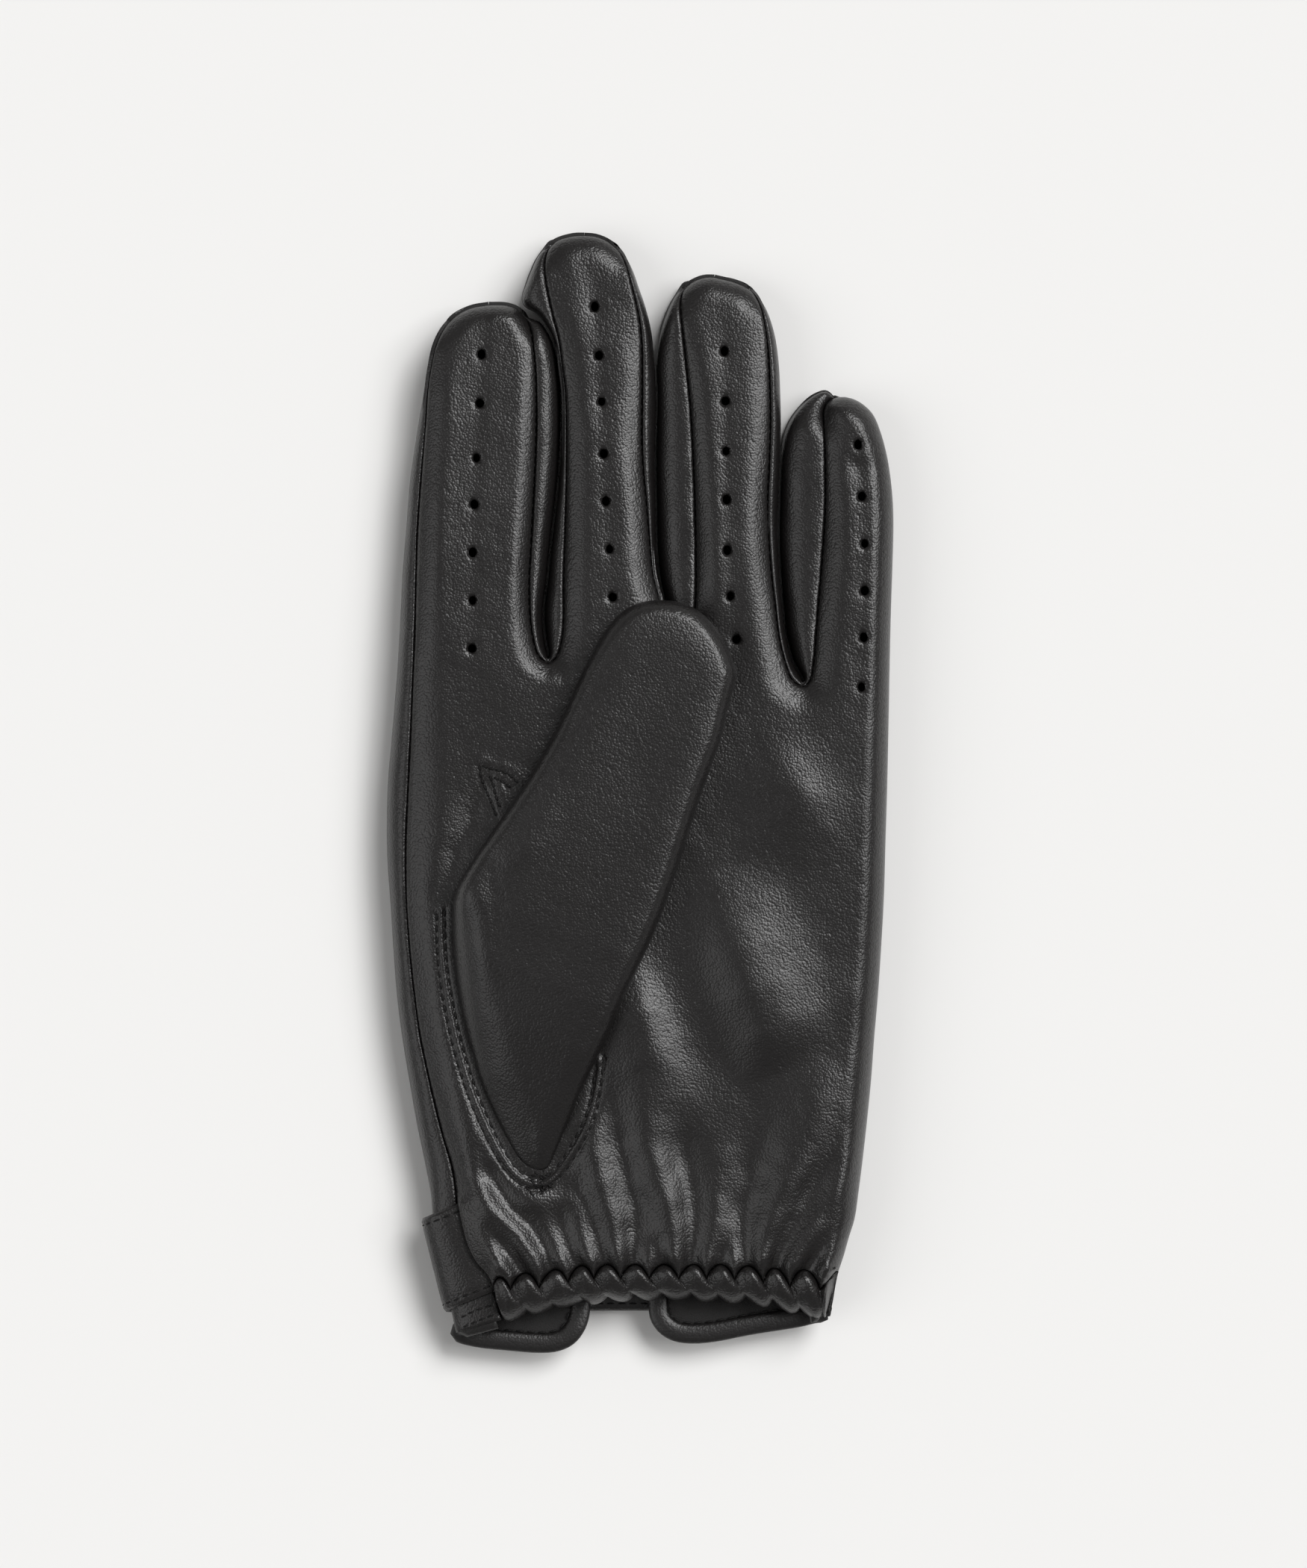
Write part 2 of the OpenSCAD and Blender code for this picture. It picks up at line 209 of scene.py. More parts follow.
def grid_faces(rows, cols, wrap=False, flip=False):
    """Four-sided faces between rows of points; wrap joins each row's last point to its first."""
    faces = []
    last = cols if wrap else cols - 1
    for r in range(rows - 1):
        for c in range(last):
            a, b = r * cols + c, r * cols + (c + 1) % cols
            quad = (a, b, b + cols, a + cols)
            faces.append(quad[::-1] if flip else quad)
    return faces


def point_normals(verts, groups):
    """Unit normals at the points of a mesh, from all the faces round each."""
    total = np.zeros_like(verts)
    for faces in groups:
        corners = verts[faces]
        n = np.cross(corners[:, 2] - corners[:, 0], corners[:, -1] - corners[:, 1])
        if faces.shape[1] == 3:
            n = np.cross(corners[:, 1] - corners[:, 0], corners[:, 2] - corners[:, 0])
        for k in range(faces.shape[1]):
            np.add.at(total, faces[:, k], n)
    return total / np.maximum(np.linalg.norm(total, axis=1), 1e-12)[:, None]


def shell(verts, faces, inward):
    """Leather with both its sides and its rim: points, groups of faces, and the outer face each is of."""
    n = point_normals(verts, [faces])
    both = np.vstack([verts, verts - n * inward])
    count = len(verts)
    owner = np.arange(len(faces))
    a = faces.ravel()
    b = np.roll(faces, -1, axis=1).ravel()
    whose = np.repeat(owner, faces.shape[1])
    forward = a.astype(np.int64) * count + b
    back = b.astype(np.int64) * count + a
    rim = ~np.isin(forward, back)
    edge = np.stack([b[rim], a[rim], a[rim] + count, b[rim] + count], axis=1)
    return both, (faces, faces[:, ::-1] + count, edge), (owner, owner, whose[rim])


def shell_pieces(verts, faces, masks, inward=LEATHER, material=None):
    """Cuts a shell into named pieces by its outer faces; their shading runs on across the cuts."""
    verts, faces = np.asarray(verts, float), np.asarray(faces)
    both, groups, owners = shell(verts, faces, inward)
    normals = point_normals(both, groups)
    pieces = {}
    for name, mask in masks.items():
        polys = [g[mask[o]] for g, o in zip(groups, owners)]
        used = np.unique(np.concatenate([g.ravel() for g in polys]))
        new = np.full(len(both), -1)
        new[used] = np.arange(len(used))
        listed = []
        for g in polys:
            listed += new[g].tolist()
        piece = mesh_piece(name, both[used], listed, material or OUTER)
        piece.data.materials.append(SUEDE)
        inside = np.zeros(len(listed), int)
        inside[len(polys[0]): len(polys[0]) + len(polys[1])] = 1
        piece.data.polygons.foreach_set("material_index", inside)
        piece.data.normals_split_custom_set_from_vertices(normals[used])
        pieces[name] = piece
    return pieces


def shell_piece(name, verts, faces, inward=LEATHER, material=None):
    """A shell left whole."""
    return shell_pieces(verts, faces, {name: np.ones(len(faces), bool)}, inward, material)[name]


def loop_area(loop):
    """Above zero if the loop runs anticlockwise."""
    x, y = loop[:, 0], loop[:, 1]
    return 0.5 * np.sum(x * np.roll(y, -1) - np.roll(x, -1) * y)


def inside_loop(xy, loop):
    """Even-odd test of points against a closed loop."""
    x, y = xy[:, 0], xy[:, 1]
    inside = np.zeros(len(xy), bool)
    a = loop[:, :2]
    b = np.roll(a, -1, axis=0)
    for p, q in zip(a, b):
        if p[1] == q[1]:
            continue
        cross = ((p[1] > y) != (q[1] > y))
        at = (q[0] - p[0]) * (y - p[1]) / (q[1] - p[1]) + p[0]
        inside ^= cross & (x < at)
    return inside


def find_tree(points):
    """A search tree of points in plan."""
    tree = kdtree.KDTree(len(points))
    for i, p in enumerate(points):
        tree.insert((p[0], p[1], 0), i)
    tree.balance()
    return tree


def edge_distance(xy, loop):
    """Distance to the loop, and the loop's own columns at the nearest place."""
    tree = find_tree(loop)
    idx = np.array([tree.find((p[0], p[1], 0))[1] for p in xy])
    n = len(loop)
    best = np.full(len(xy), 1e9)
    cols = np.zeros((len(xy), loop.shape[1]))
    for other in ((idx - 1) % n, (idx + 1) % n):
        a, b = loop[idx], loop[other]
        ab = b[:, :2] - a[:, :2]
        t = np.einsum("ij,ij->i", xy - a[:, :2], ab) / np.maximum((ab**2).sum(1), 1e-12)
        t = np.clip(t, 0, 1)[:, None]
        d = np.linalg.norm(xy - (a[:, :2] + t * ab), axis=1)
        hit = d < best
        best[hit] = d[hit]
        cols[hit] = (a + t * (b - a))[hit]
    return best, cols


def line_points(lines, gap=0.42):
    """Points along lines and close beside them, for narrow grooves to follow."""
    found = []
    for line in lines:
        line = even(np.asarray(line, float)[:, :2], 0.5)
        n = side_normals(line)
        for k in (-2, -1, 0, 1, 2):
            found.append(line + n * gap * k)
    return np.vstack(found)


def thin_out(points, gap):
    """Leaves out points that lie too near an earlier one."""
    cells = {}
    kept = []
    for i, p in enumerate(points):
        cx, cy = int(p[0] // gap), int(p[1] // gap)
        near = False
        for a in (cx - 1, cx, cx + 1):
            for b in (cy - 1, cy, cy + 1):
                for q in cells.get((a, b), ()):
                    near = near or (p[0] - q[0]) ** 2 + (p[1] - q[1]) ** 2 < gap * gap
        if not near:
            cells.setdefault((cx, cy), []).append(p)
            kept.append(i)
    return points[kept]


def hexagons(loop, step, margin):
    """A hexagonal grid inside a loop, kept clear of it."""
    lo, hi = loop[:, :2].min(0), loop[:, :2].max(0)
    grid = []
    for i, y in enumerate(np.arange(lo[1], hi[1], step * 0.866)):
        xs = np.arange(lo[0] + (i % 2) * step / 2, hi[0], step)
        grid.append(np.stack([xs, np.full(len(xs), y)], axis=1))
    grid = np.vstack(grid)
    grid = grid[inside_loop(grid, loop)]
    return grid[edge_distance(grid, loop)[0] > margin + step * 0.55]


def inner_rings(loop, rings):
    """Rings of points just inside a loop."""
    left = side_normals(loop, closed=True)
    points = np.vstack([loop[:, :2] + left * r for r in rings])
    points = points[inside_loop(points, loop)]
    return points[edge_distance(points, loop)[0] > rings[0] * 0.8]


def add_lines(grid, loop, lines, step, margin):
    """Puts the points of narrow grooves into the grid, in place of its own nearby."""
    extra = line_points(lines)
    extra = extra[inside_loop(extra, loop)]
    far, _ = edge_distance(extra, loop)
    extra = thin_out(extra[far > margin + 0.2], 0.3)
    tree = find_tree(extra)
    clear = np.array([tree.find((q[0], q[1], 0))[2] > 0.55 * step for q in grid])
    return np.vstack([grid[clear], extra])


def flat_mesh(loop, holes=(), step=GRID_STEP, rings=(0.22, 0.6, 1.15), lines=()):
    """Triangles over the inside of a loop: its points, rings inside it, lines, and a hexagonal grid."""
    if loop_area(loop) < 0:
        loop = loop[::-1]
    grid = hexagons(loop, step, rings[-1])
    if len(lines):
        grid = add_lines(grid, loop, lines, step, rings[-1])
    free = np.vstack([inner_rings(loop, rings), grid])
    for hole in holes:
        keep = ~inside_loop(free, hole)
        d, _ = edge_distance(free, hole)
        free = free[keep & (d > 0.3)]
    points, edges, count = [], [], 0
    for line in [loop[:, :2], *holes]:
        n = len(line)
        edges += [(count + i, count + (i + 1) % n) for i in range(n)]
        points.append(line)
        count += n
    points = [Vector(p) for p in np.vstack(points + [free])]
    verts, _, faces, *_ = delaunay_2d_cdt(points, edges, [], 0, 1e-5)
    verts = np.array([tuple(v) for v in verts])
    faces = np.array([f for f in faces if len(f) == 3])
    centre = verts[faces].mean(axis=1)
    keep = inside_loop(centre, loop)
    for hole in holes:
        keep &= ~inside_loop(centre, hole)
    faces = faces[keep]
    area = cross2(verts[faces[:, 1]] - verts[faces[:, 0]], verts[faces[:, 2]] - verts[faces[:, 0]])
    faces[area < 0] = faces[area < 0][:, ::-1]
    return verts, faces[np.abs(area) > 1e-7]


def cross2(a, b):
    """The upward part of a cross product in plan."""
    return a[:, 0] * b[:, 1] - a[:, 1] * b[:, 0]


UPPER_STEPS = (0, 0.035, 0.08, 0.14, 0.22, 0.34, 0.5, 0.7, 0.95, 1.25, math.pi / 2)
LOWER_STEPS = (0.2, 0.4, 0.6, 0.8, 1.0, 1.2, 1.4, math.pi / 2)
EDGE_COLUMN = len(UPPER_STEPS) - 1


def strip_points(upper, edge, lower, rows, bulge_up=0.35, lip=0.45):
    """A leather strip from an upper line over an edge line to a lower line, all as (x, y, z)."""
    u = even(upper, 0, count=rows)
    s = even(edge, 0, count=rows)
    low = even(lower, 0, count=rows)
    width = np.linalg.norm(s[:, :2] - u[:, :2], axis=1)
    full = np.clip(width / 2, 0, 1)
    lines = []
    for k in UPPER_STEPS:
        p = u + (s - u) * math.sin(k)
        p[:, 2] = s[:, 2] + (u[:, 2] - s[:, 2]) * math.cos(k) + bulge_up * full * math.sin(2 * k)
        p[:, 2] += lip * (quarter(math.sin(k) * width / 0.8) - 1) * full
        lines.append(p)
    for k in LOWER_STEPS:
        p = s + (low - s) * (1 - math.cos(k))
        p[:, 2] = s[:, 2] - (s[:, 2] - low[:, 2]) * math.sin(k)
        lines.append(p)
    return np.stack(lines, axis=1)


def sweep(name, line, profile, closed=False):
    """A closed profile of (across, up) points carried along a line, capped at its ends."""
    line = np.asarray(line, float)
    if closed:
        d = np.roll(line, -1, axis=0) - np.roll(line, 1, axis=0)
    else:
        d = np.gradient(line, axis=0)
    d /= np.maximum(np.linalg.norm(d, axis=1), 1e-9)[:, None]
    across = np.cross(d, (0, 0, 1.0))
    across /= np.maximum(np.linalg.norm(across, axis=1), 1e-9)[:, None]
    rise = np.cross(across, d)
    pts = (line[:, None, :] + across[:, None, :] * profile[None, :, :1]
           + rise[:, None, :] * profile[None, :, 1:2])
    rows, cols = pts.shape[:2]
    faces = grid_faces(rows, cols, wrap=True)
    if closed:
        base = (rows - 1) * cols
        faces += [(base + c, base + (c + 1) % cols, (c + 1) % cols, c) for c in range(cols)]
    else:
        faces.append(tuple(range(cols))[::-1])
        faces.append(tuple((rows - 1) * cols + c for c in range(cols)))
    return mesh_piece(name, pts.reshape(-1, 3), faces, EDGE)


# A thread along its length: how far from its middle, and how thick there
STITCH_RINGS = ((-1.0, 0.0), (-0.86, 0.62), (-0.45, 1.0), (0.45, 1.0), (0.86, 0.62), (1.0, 0.0))


# Sides of a thread, and how many points of its line each stitch takes up
STITCH_SIDES = 6
STITCH_POINTS = 8


def add_thread(verts, faces, a, b, radius, dip):
    """Adds one thread from a to b, which dives into the leather at both ends."""
    d = b - a
    size = np.linalg.norm(d)
    if size < 1e-6:
        return
    d /= size
    across = np.cross(d, (0, 0, 1.0))
    across /= max(np.linalg.norm(across), 1e-9)
    rise = np.cross(across, d)
    start = len(verts)
    for t, k in STITCH_RINGS:
        centre = (a + b) / 2 + d * t * size / 2
        centre = centre + rise * (radius * 0.5 - dip * 2 * abs(t) ** 3)
        for s in range(STITCH_SIDES):
            ang = 2 * math.pi * s / STITCH_SIDES
            verts.append(centre + across * math.cos(ang) * radius * k + rise * math.sin(ang) * radius * k)
    for r in range(len(STITCH_RINGS) - 1):
        for s in range(STITCH_SIDES):
            p = start + r * STITCH_SIDES + s
            q = start + r * STITCH_SIDES + (s + 1) % STITCH_SIDES
            faces.append((p, q, q + STITCH_SIDES, p + STITCH_SIDES))


def stitches(name, lines, length=1.7, pitch=2.2, radius=0.17, dip=0.12):
    """Short threads along lines."""
    verts, faces = [], []
    for line in lines:
        line = even(np.asarray(line, float), pitch / STITCH_POINTS)
        half = max(1, int(round(length / pitch * STITCH_POINTS / 2)))
        for mid in range(half, len(line) - half, STITCH_POINTS):
            add_thread(verts, faces, line[mid - half], line[mid + half], radius, dip)
    return mesh_piece(name, verts, faces, THREAD)


def sew(name, lines, **sizes):
    """Stitches that ride on the hand."""
    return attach(stitches(name, lines, **sizes), "hand")


# ---------------------------------------------------------------- materials

def new_material(name, colour, roughness, specular=0.5, metallic=0.0):
    """A plain material, with its nodes, its links and its shader."""
    m = bpy.data.materials.new(name)
    m.use_nodes = True
    shader = m.node_tree.nodes["Principled BSDF"]
    values = {"Base Color": (*colour, 1), "Roughness": roughness, "Specular IOR Level": specular,
              "Metallic": metallic}
    for socket, value in values.items():
        shader.inputs[socket].default_value = value
    return m, m.node_tree.nodes, m.node_tree.links, shader


def add(nodes, kind, **values):
    """A new node; each value is one of its sockets' or, failing that, of its own."""
    node = nodes.new(kind)
    for key, value in values.items():
        if key in node.inputs:
            node.inputs[key].default_value = value
        else:
            setattr(node, key, value)
    return node


def texture(material, kind, **values):
    """A texture laid out in the piece's own coordinates, in metres."""
    _, nodes, links, _ = material
    where = nodes.new("ShaderNodeTexCoord")
    node = add(nodes, kind, **values)
    links.new(where.outputs["Object"], node.inputs["Vector"])
    return node


def multiply_add(material, kind, value, factor, addend):
    """The output of value times factor plus addend."""
    _, nodes, links, _ = material
    node = add(nodes, kind, operation="MULTIPLY_ADD")
    links.new(value, node.inputs[0])
    node.inputs[1].default_value = factor
    links.new(addend, node.inputs[2])
    return node.outputs[0]


def bump(material, height, strength, distance, invert=False):
    """Roughens the shading by a height, over a distance in metres."""
    _, nodes, links, shader = material
    node = add(nodes, "ShaderNodeBump", Strength=strength, Distance=distance, invert=invert)
    links.new(height, node.inputs["Height"])
    links.new(node.outputs["Normal"], shader.inputs["Normal"])


def vary_roughness(material, scale, detail, low, high):
    """Lets the roughness drift between two values."""
    _, nodes, links, shader = material
    patch = texture(material, "ShaderNodeTexNoise", Scale=scale, Detail=detail)
    spread = add(nodes, "ShaderNodeMapRange")
    spread.inputs["To Min"].default_value = low
    spread.inputs["To Max"].default_value = high
    links.new(patch.outputs["Fac"], spread.inputs["Value"])
    links.new(spread.outputs["Result"], shader.inputs["Roughness"])


def pebbles(material, grain):
    """Rounded cells about grain millimetres wide, pulled out of line so that no rows show."""
    _, nodes, links, _ = material
    where = nodes.new("ShaderNodeTexCoord")
    bend = texture(material, "ShaderNodeTexNoise", Scale=700.0, Detail=2.0)
    moved = multiply_add(material, "ShaderNodeVectorMath", bend.outputs["Color"],
                         (0.0005, 0.0005, 0.0005), where.outputs["Object"])
    cells = add(nodes, "ShaderNodeTexVoronoi", feature="SMOOTH_F1", Scale=1.0 / (grain * MM),
                Smoothness=0.25)
    links.new(moved, cells.inputs["Vector"])
    return cells.outputs["Distance"]


def leather(name, colour, roughness=0.32, grain=0.42, depth=0.075, strength=0.85):
    """Grained hairsheep: pebbles, finer pores, soft creases, and a sheen that varies."""
    material = new_material(name, colour, roughness)
    m, nodes, links, shader = material
    cells = pebbles(material, grain)
    pore = texture(material, "ShaderNodeTexNoise", Scale=5200.0, Detail=2.0, Roughness=0.6)
    fold = texture(material, "ShaderNodeTexNoise", Scale=700.0, Detail=3.0, Roughness=0.6, Distortion=0.8)
    dome = add(nodes, "ShaderNodeMath", operation="POWER")
    links.new(cells, dome.inputs[0])
    dome.inputs[1].default_value = 1.7
    height = multiply_add(material, "ShaderNodeMath", pore.outputs["Fac"], 0.1, dome.outputs[0])
    height = multiply_add(material, "ShaderNodeMath", fold.outputs["Fac"], 0.45, height)
    bump(material, height, strength, depth * MM, invert=True)
    vary_roughness(material, 45.0, 3.0, roughness - 0.05, roughness + 0.07)
    tint = add(nodes, "ShaderNodeMix", data_type="RGBA")
    tint.inputs[6].default_value = (*[c * 1.2 for c in colour], 1)
    tint.inputs[7].default_value = (*[c * 0.7 for c in colour], 1)
    links.new(cells, tint.inputs[0])
    links.new(tint.outputs[2], shader.inputs["Base Color"])
    return m


def thread_material(name, colour):
    """Twisted thread: fine slanted strands."""
    material = new_material(name, colour, 0.6, 0.2)
    twist = texture(material, "ShaderNodeTexWave", Scale=900.0, Distortion=1.0)
    twist.bands_direction = "DIAGONAL"
    bump(material, twist.outputs["Fac"], 0.5, 0.00005)
    return material[0]


def metal_material(name):
    """Dark nickel with fine scratches."""
    material = new_material(name, (0.24, 0.24, 0.25), 0.28, metallic=1.0)
    vary_roughness(material, 700.0, 4.0, 0.2, 0.42)
    return material[0]


OUTER = leather("black_leather", (0.0098, 0.0088, 0.0087))
EDGE = leather("edge_leather", (0.0092, 0.0083, 0.0082), roughness=0.4, depth=0.05)
SUEDE = leather("suede_inside", (0.0085, 0.0078, 0.0076), roughness=0.8, grain=0.2)
# The thread is set darker than the leather: partly black thread, partly painted shade for the holes its
# stitches sink into.
THREAD = thread_material("black_thread_with_painted_shade", (0.006, 0.0055, 0.0055))
METAL = metal_material("dark_nickel")


# ---------------------------------------------------------------- outlines of the glove

FINGERS = ("index", "middle", "ring", "little")
TIP_Y = {"index": 92.0, "middle": 105.0, "ring": 97.2, "little": 74.8}
CUT_Y = {"index": 37.0, "middle": 37.0, "ring": 37.0, "little": 27.0}

# Seams round each finger's palm face, from the hand up to the middle of the tip
SEAM = {
    "index_left": [
        (-27.4, -92.6), (-28.8, -90), (-30.6, -88), (-32.2, -85), (-33.6, -80), (-34.4, -75),
        (-35.2, -70), (-36.7, -65), (-38, -60), (-39.2, -55), (-40.3, -50), (-41.3, -45),
        (-42, -40), (-42.6, -35), (-43.1, -30), (-43.5, -25), (-43.8, -20), (-43.9, -10),
        (-43.5, 0), (-43, 10), (-42.6, 20), (-42.2, 30), (-42, 40), (-41.7, 50), (-41, 60),
        (-40.2, 70), (-39.9, 75), (-39.2, 80), (-38.3, 84), (-36.9, 87.2), (-34.8, 89.7),
        (-31.8, 91.3), (-28.5, 91.9)],
    "index_right": [
        (-17.2, 24.3), (-19.0, 25.6), (-20.1, 29), (-20.7, 34), (-20.8, 40), (-20.5, 46),
        (-20.2, 52), (-19.9, 58), (-19.6, 65), (-19.5, 72), (-19.6, 78), (-20, 83), (-20.6, 87),
        (-21.6, 89.4), (-23, 91), (-25.2, 91.8), (-28.5, 91.9)],
    "middle_left": [
        (-17.2, 24.3), (-15.7, 25.4), (-14.7, 28.5), (-14.3, 33), (-14.3, 40), (-14, 50),
        (-13.8, 60), (-13.8, 67), (-14, 75), (-14.6, 80), (-15.2, 85), (-16.2, 89), (-17.1, 93),
        (-17.8, 97), (-17.9, 100), (-17.2, 102.4), (-15.6, 104), (-12.5, 104.9), (-10.5, 105)],
    "middle_right": [
        (6.7, 25.4), (5.4, 27.4), (4.7, 31), (3.7, 36), (2.4, 41), (1.7, 48), (1.1, 55), (0.6, 60),
        (0.3, 66), (0.35, 75), (0.3, 84), (-0.1, 88.5), (-0.9, 92.5), (-1.8, 96), (-2.6, 99),
        (-3.8, 101.7), (-6, 103.8), (-8.4, 104.8), (-10.5, 105)],
    "ring_left": [
        (6.7, 25.4), (8.3, 27.2), (9.7, 31), (10.4, 36), (10.5, 45), (10.3, 55), (9.9, 65),
        (9.4, 73), (8.7, 80), (8.2, 85), (7.7, 89.5), (7.6, 92.5), (8.3, 94.8), (10, 96.3),
        (12.3, 97.1), (14, 97.1)],
    "ring_right": [
        (30.6, 19.9), (28.6, 21), (27, 25), (25.9, 30), (25.3, 35), (24.7, 40), (24.1, 48),
        (23.9, 55), (24.2, 62), (24.4, 70), (24.2, 79), (23.8, 85), (23.2, 89), (22.4, 92),
        (20.8, 94.6), (18.2, 96), (14, 97.1)],
    "little_left": [
        (30.6, 19.9), (31.8, 21), (32.6, 25), (33, 30), (33.5, 36), (34.1, 43), (34.6, 50),
        (34.8, 57), (34.7, 64), (34.5, 69), (34.5, 71.8), (35.3, 73.6), (37, 74.5), (38.6, 74.6)],
}
# The right-hand edge, where the one hide folds round from the palm to the back
FOLD = [
    (38.6, 74.6), (40.4, 74.1), (42.2, 73), (43.9, 71.2), (45.4, 67.6), (46.5, 63.4), (47.2, 59),
    (47.6, 54.5), (47.7, 50), (47.5, 42), (47.2, 33), (47, 24), (46.8, 13), (46.5, 0),
    (46.2, -10), (45.9, -20), (45.4, -29), (44.8, -38), (44.1, -46), (43.5, -54), (42.6, -63),
    (41.9, -69), (41, -75.5), (40.3, -80), (39.2, -83.6), (38.3, -86.8), (37.3, -89.8)]
# Outermost lines of the fourchettes and of the index side, seen from above
EDGE_LINE = {
    "index_left": [
        (-34.6, -101.4), (-35.3, -98), (-36.3, -93.5), (-37.6, -88), (-38.5, -83), (-39, -79),
        (-39.3, -75.5), (-40.2, -71), (-41.9, -63), (-43.4, -54.5), (-44.8, -46), (-45.8, -38),
        (-46.5, -29), (-47, -21), (-47.6, -12.5), (-47.7, -6), (-47.5, 2), (-46.9, 9), (-46.2, 17),
        (-45.6, 25), (-45.1, 34), (-44.7, 42), (-44, 50.5), (-43.3, 59), (-42.3, 66), (-41.4, 71.5),
        (-40.6, 75.7), (-39.6, 80), (-38.5, 84.1), (-37.1, 87.3), (-34.9, 89.9), (-31.9, 91.5),
        (-28.5, 92.1)],
    "index_right": [
        (-17.5, 26.2), (-18.1, 29), (-18.4, 34), (-17.7, 40), (-17.1, 46), (-16.4, 52),
        (-15.7, 58), (-15.2, 65), (-15, 73), (-15.4, 80), (-16.6, 85), (-18, 87.6), (-19.7, 89.7),
        (-22, 91.3), (-25, 92), (-28.5, 92.1)],
    "middle_left": [
        (-17.1, 26.2), (-17.6, 29), (-18, 34), (-17.3, 40), (-16.7, 46), (-16, 52), (-15.3, 58),
        (-14.8, 65), (-14.6, 73), (-15, 80), (-16.2, 85.2), (-17.7, 88.1), (-19.5, 90.3),
        (-21.8, 91.8), (-22.2, 93.3), (-21.3, 96), (-20.4, 98.4), (-19.3, 100.8), (-17.6, 103),
        (-15.4, 104.5), (-12.5, 105.1), (-10.5, 105.1)],
    "middle_right": [
        (6.4, 27.2), (5.5, 31), (4.4, 36), (3.3, 41), (2.9, 48), (2.8, 55), (2.7, 60), (2.8, 66),
        (2.9, 75), (2.6, 82), (2.1, 87), (1, 91.5), (-0.2, 95), (-1.4, 98.4), (-3, 101.4),
        (-5.2, 103.6), (-8, 104.9), (-10.5, 105.1)],
    "ring_left": [
        (6.9, 27.2), (6, 31), (4.9, 36), (3.8, 41), (3.3, 48), (3.2, 55), (3.1, 62), (3.2, 68),
        (3.3, 75), (3.1, 81), (3.7, 85.5), (5, 90), (6.4, 93), (8.2, 95.4), (10.2, 96.8),
        (12.3, 97.3), (14, 97.3)],
    "ring_right": [
        (30.3, 21.6), (28.4, 25), (27.2, 30), (26.7, 35), (26.2, 41), (25.8, 50), (26, 56),
        (26.2, 61), (26.5, 69), (26.4, 75), (26.1, 81), (25.4, 86), (24.2, 90), (22.9, 92.5),
        (21, 94.9), (18.3, 96.3), (14, 97.3)],
    "little_left": [
        (30.8, 21.6), (28.9, 25), (27.6, 30), (27.1, 35), (26.6, 41), (26.3, 47), (26.35, 53),
        (26.5, 58), (26.8, 63.5), (27.6, 68), (28.8, 70.7), (30.6, 73), (32.8, 74.8),
        (35.2, 75.6), (38.6, 74.8)],
}
VENTS = {
    "index": [(-29.7, 82.2), (-30, 73), (-30.6, 62.7), (-31, 54), (-31.3, 45), (-31.3, 36),
              (-31.4, 27)],
    "middle": [(-8.5, 91.2), (-7.7, 82), (-7.2, 73.3), (-6.8, 63.5), (-6.4, 54.6), (-5.7, 45.6),
               (-5.1, 36.6)],
    "ring": [(15.8, 82.8), (16, 73.4), (16.1, 64), (16.2, 54.9), (16.3, 45.4), (16.9, 36.8), (18, 28.7)],
    "little": [(40.8, 65.2), (41.5, 55.5), (42, 46.6), (42, 37.8), (41.8, 29.1), (41.4, 19.8)],
}
# The elastic seam at the wrist: each puff's top, and the notch on its left
PUFFS = [-21.5, -16, -11, -6.2, -1, 4.5, 10, 15, 20.3, 25.2, 30.6]
NOTCHES = [-24.3, -19, -13.6, -8.8, -3.8, 1.6, 7.1, 12.3, 17.6, 23, 28, 33.6]


def puff_top(x):
    """Where the top of a puff is, down the palm."""
    return -88.2 - 1.6 * step01((-8 - x) / 14) - 1.0 * step01((x - 15) / 16)


def notch_low(x):
    """Where the bottom of a notch is."""
    return -91.4 - 1.9 * step01((-8 - x) / 14) - 1.6 * step01((x - 15) / 16)


def seam_height(y, finger):
    """Height of the seams of the palm face: level along the finger, and lower round its tip."""
    tip = TIP_Y[finger]
    side = np.interp(y, [-92, -60, 0, 25, 45, 80], [10.4, 10.2, 10.6, 10.8, 9.8, 9.2])
    return 5.4 + (side - 5.4) * step01((tip - y + 0.2) / 9.5)


def edge_height(y):
    """Height of the outermost lines of the sides."""
    return 5.6 + 2.4 * step01((-66 - y) / 14)


# Rows of stitching round the thumb's opening
THUMB_ROWS = [
    [(-36.5, -21.6), (-36.3, -29), (-35.5, -36), (-34.4, -42), (-32.5, -49.6), (-30.8, -55),
     (-28.7, -60.2), (-26.3, -65.2), (-23.5, -69.8), (-21, -71.8), (-18.2, -72.2), (-15.9, -70.3),
     (-12.4, -65), (-10.2, -60.6), (-9, -56), (-8.2, -51)],
    [(-38, -22.4), (-37.9, -29.4), (-37.1, -36.6), (-36, -42.6), (-34.1, -50.3), (-32.3, -56),
     (-30.2, -61.2), (-27.7, -66.3), (-24.7, -71), (-21.6, -73.5), (-17.9, -73.9), (-14.6, -71.4),
     (-11, -65.9), (-8.7, -61.2), (-7.5, -56.2), (-6.8, -49)],
]
# Short rows that lock the top of the thumb's opening
STAR_BARS = [
    [(-30, 5.3), (-29.7, 2.9), (-28.9, 0.8), (-28, -1.4), (-26.8, -4.4)],
    [(-28.1, 3.3), (-27.2, 0.7), (-26.9, -0.8), (-26, -2.9)],
    [(-29.5, 5.2), (-28, 4.5), (-26.1, 4.2), (-24.3, 3.3), (-22.6, 1.7)],
    [(-27.4, 2.9), (-25.9, 2.3), (-25, 1.6), (-23.6, 0.6)]]


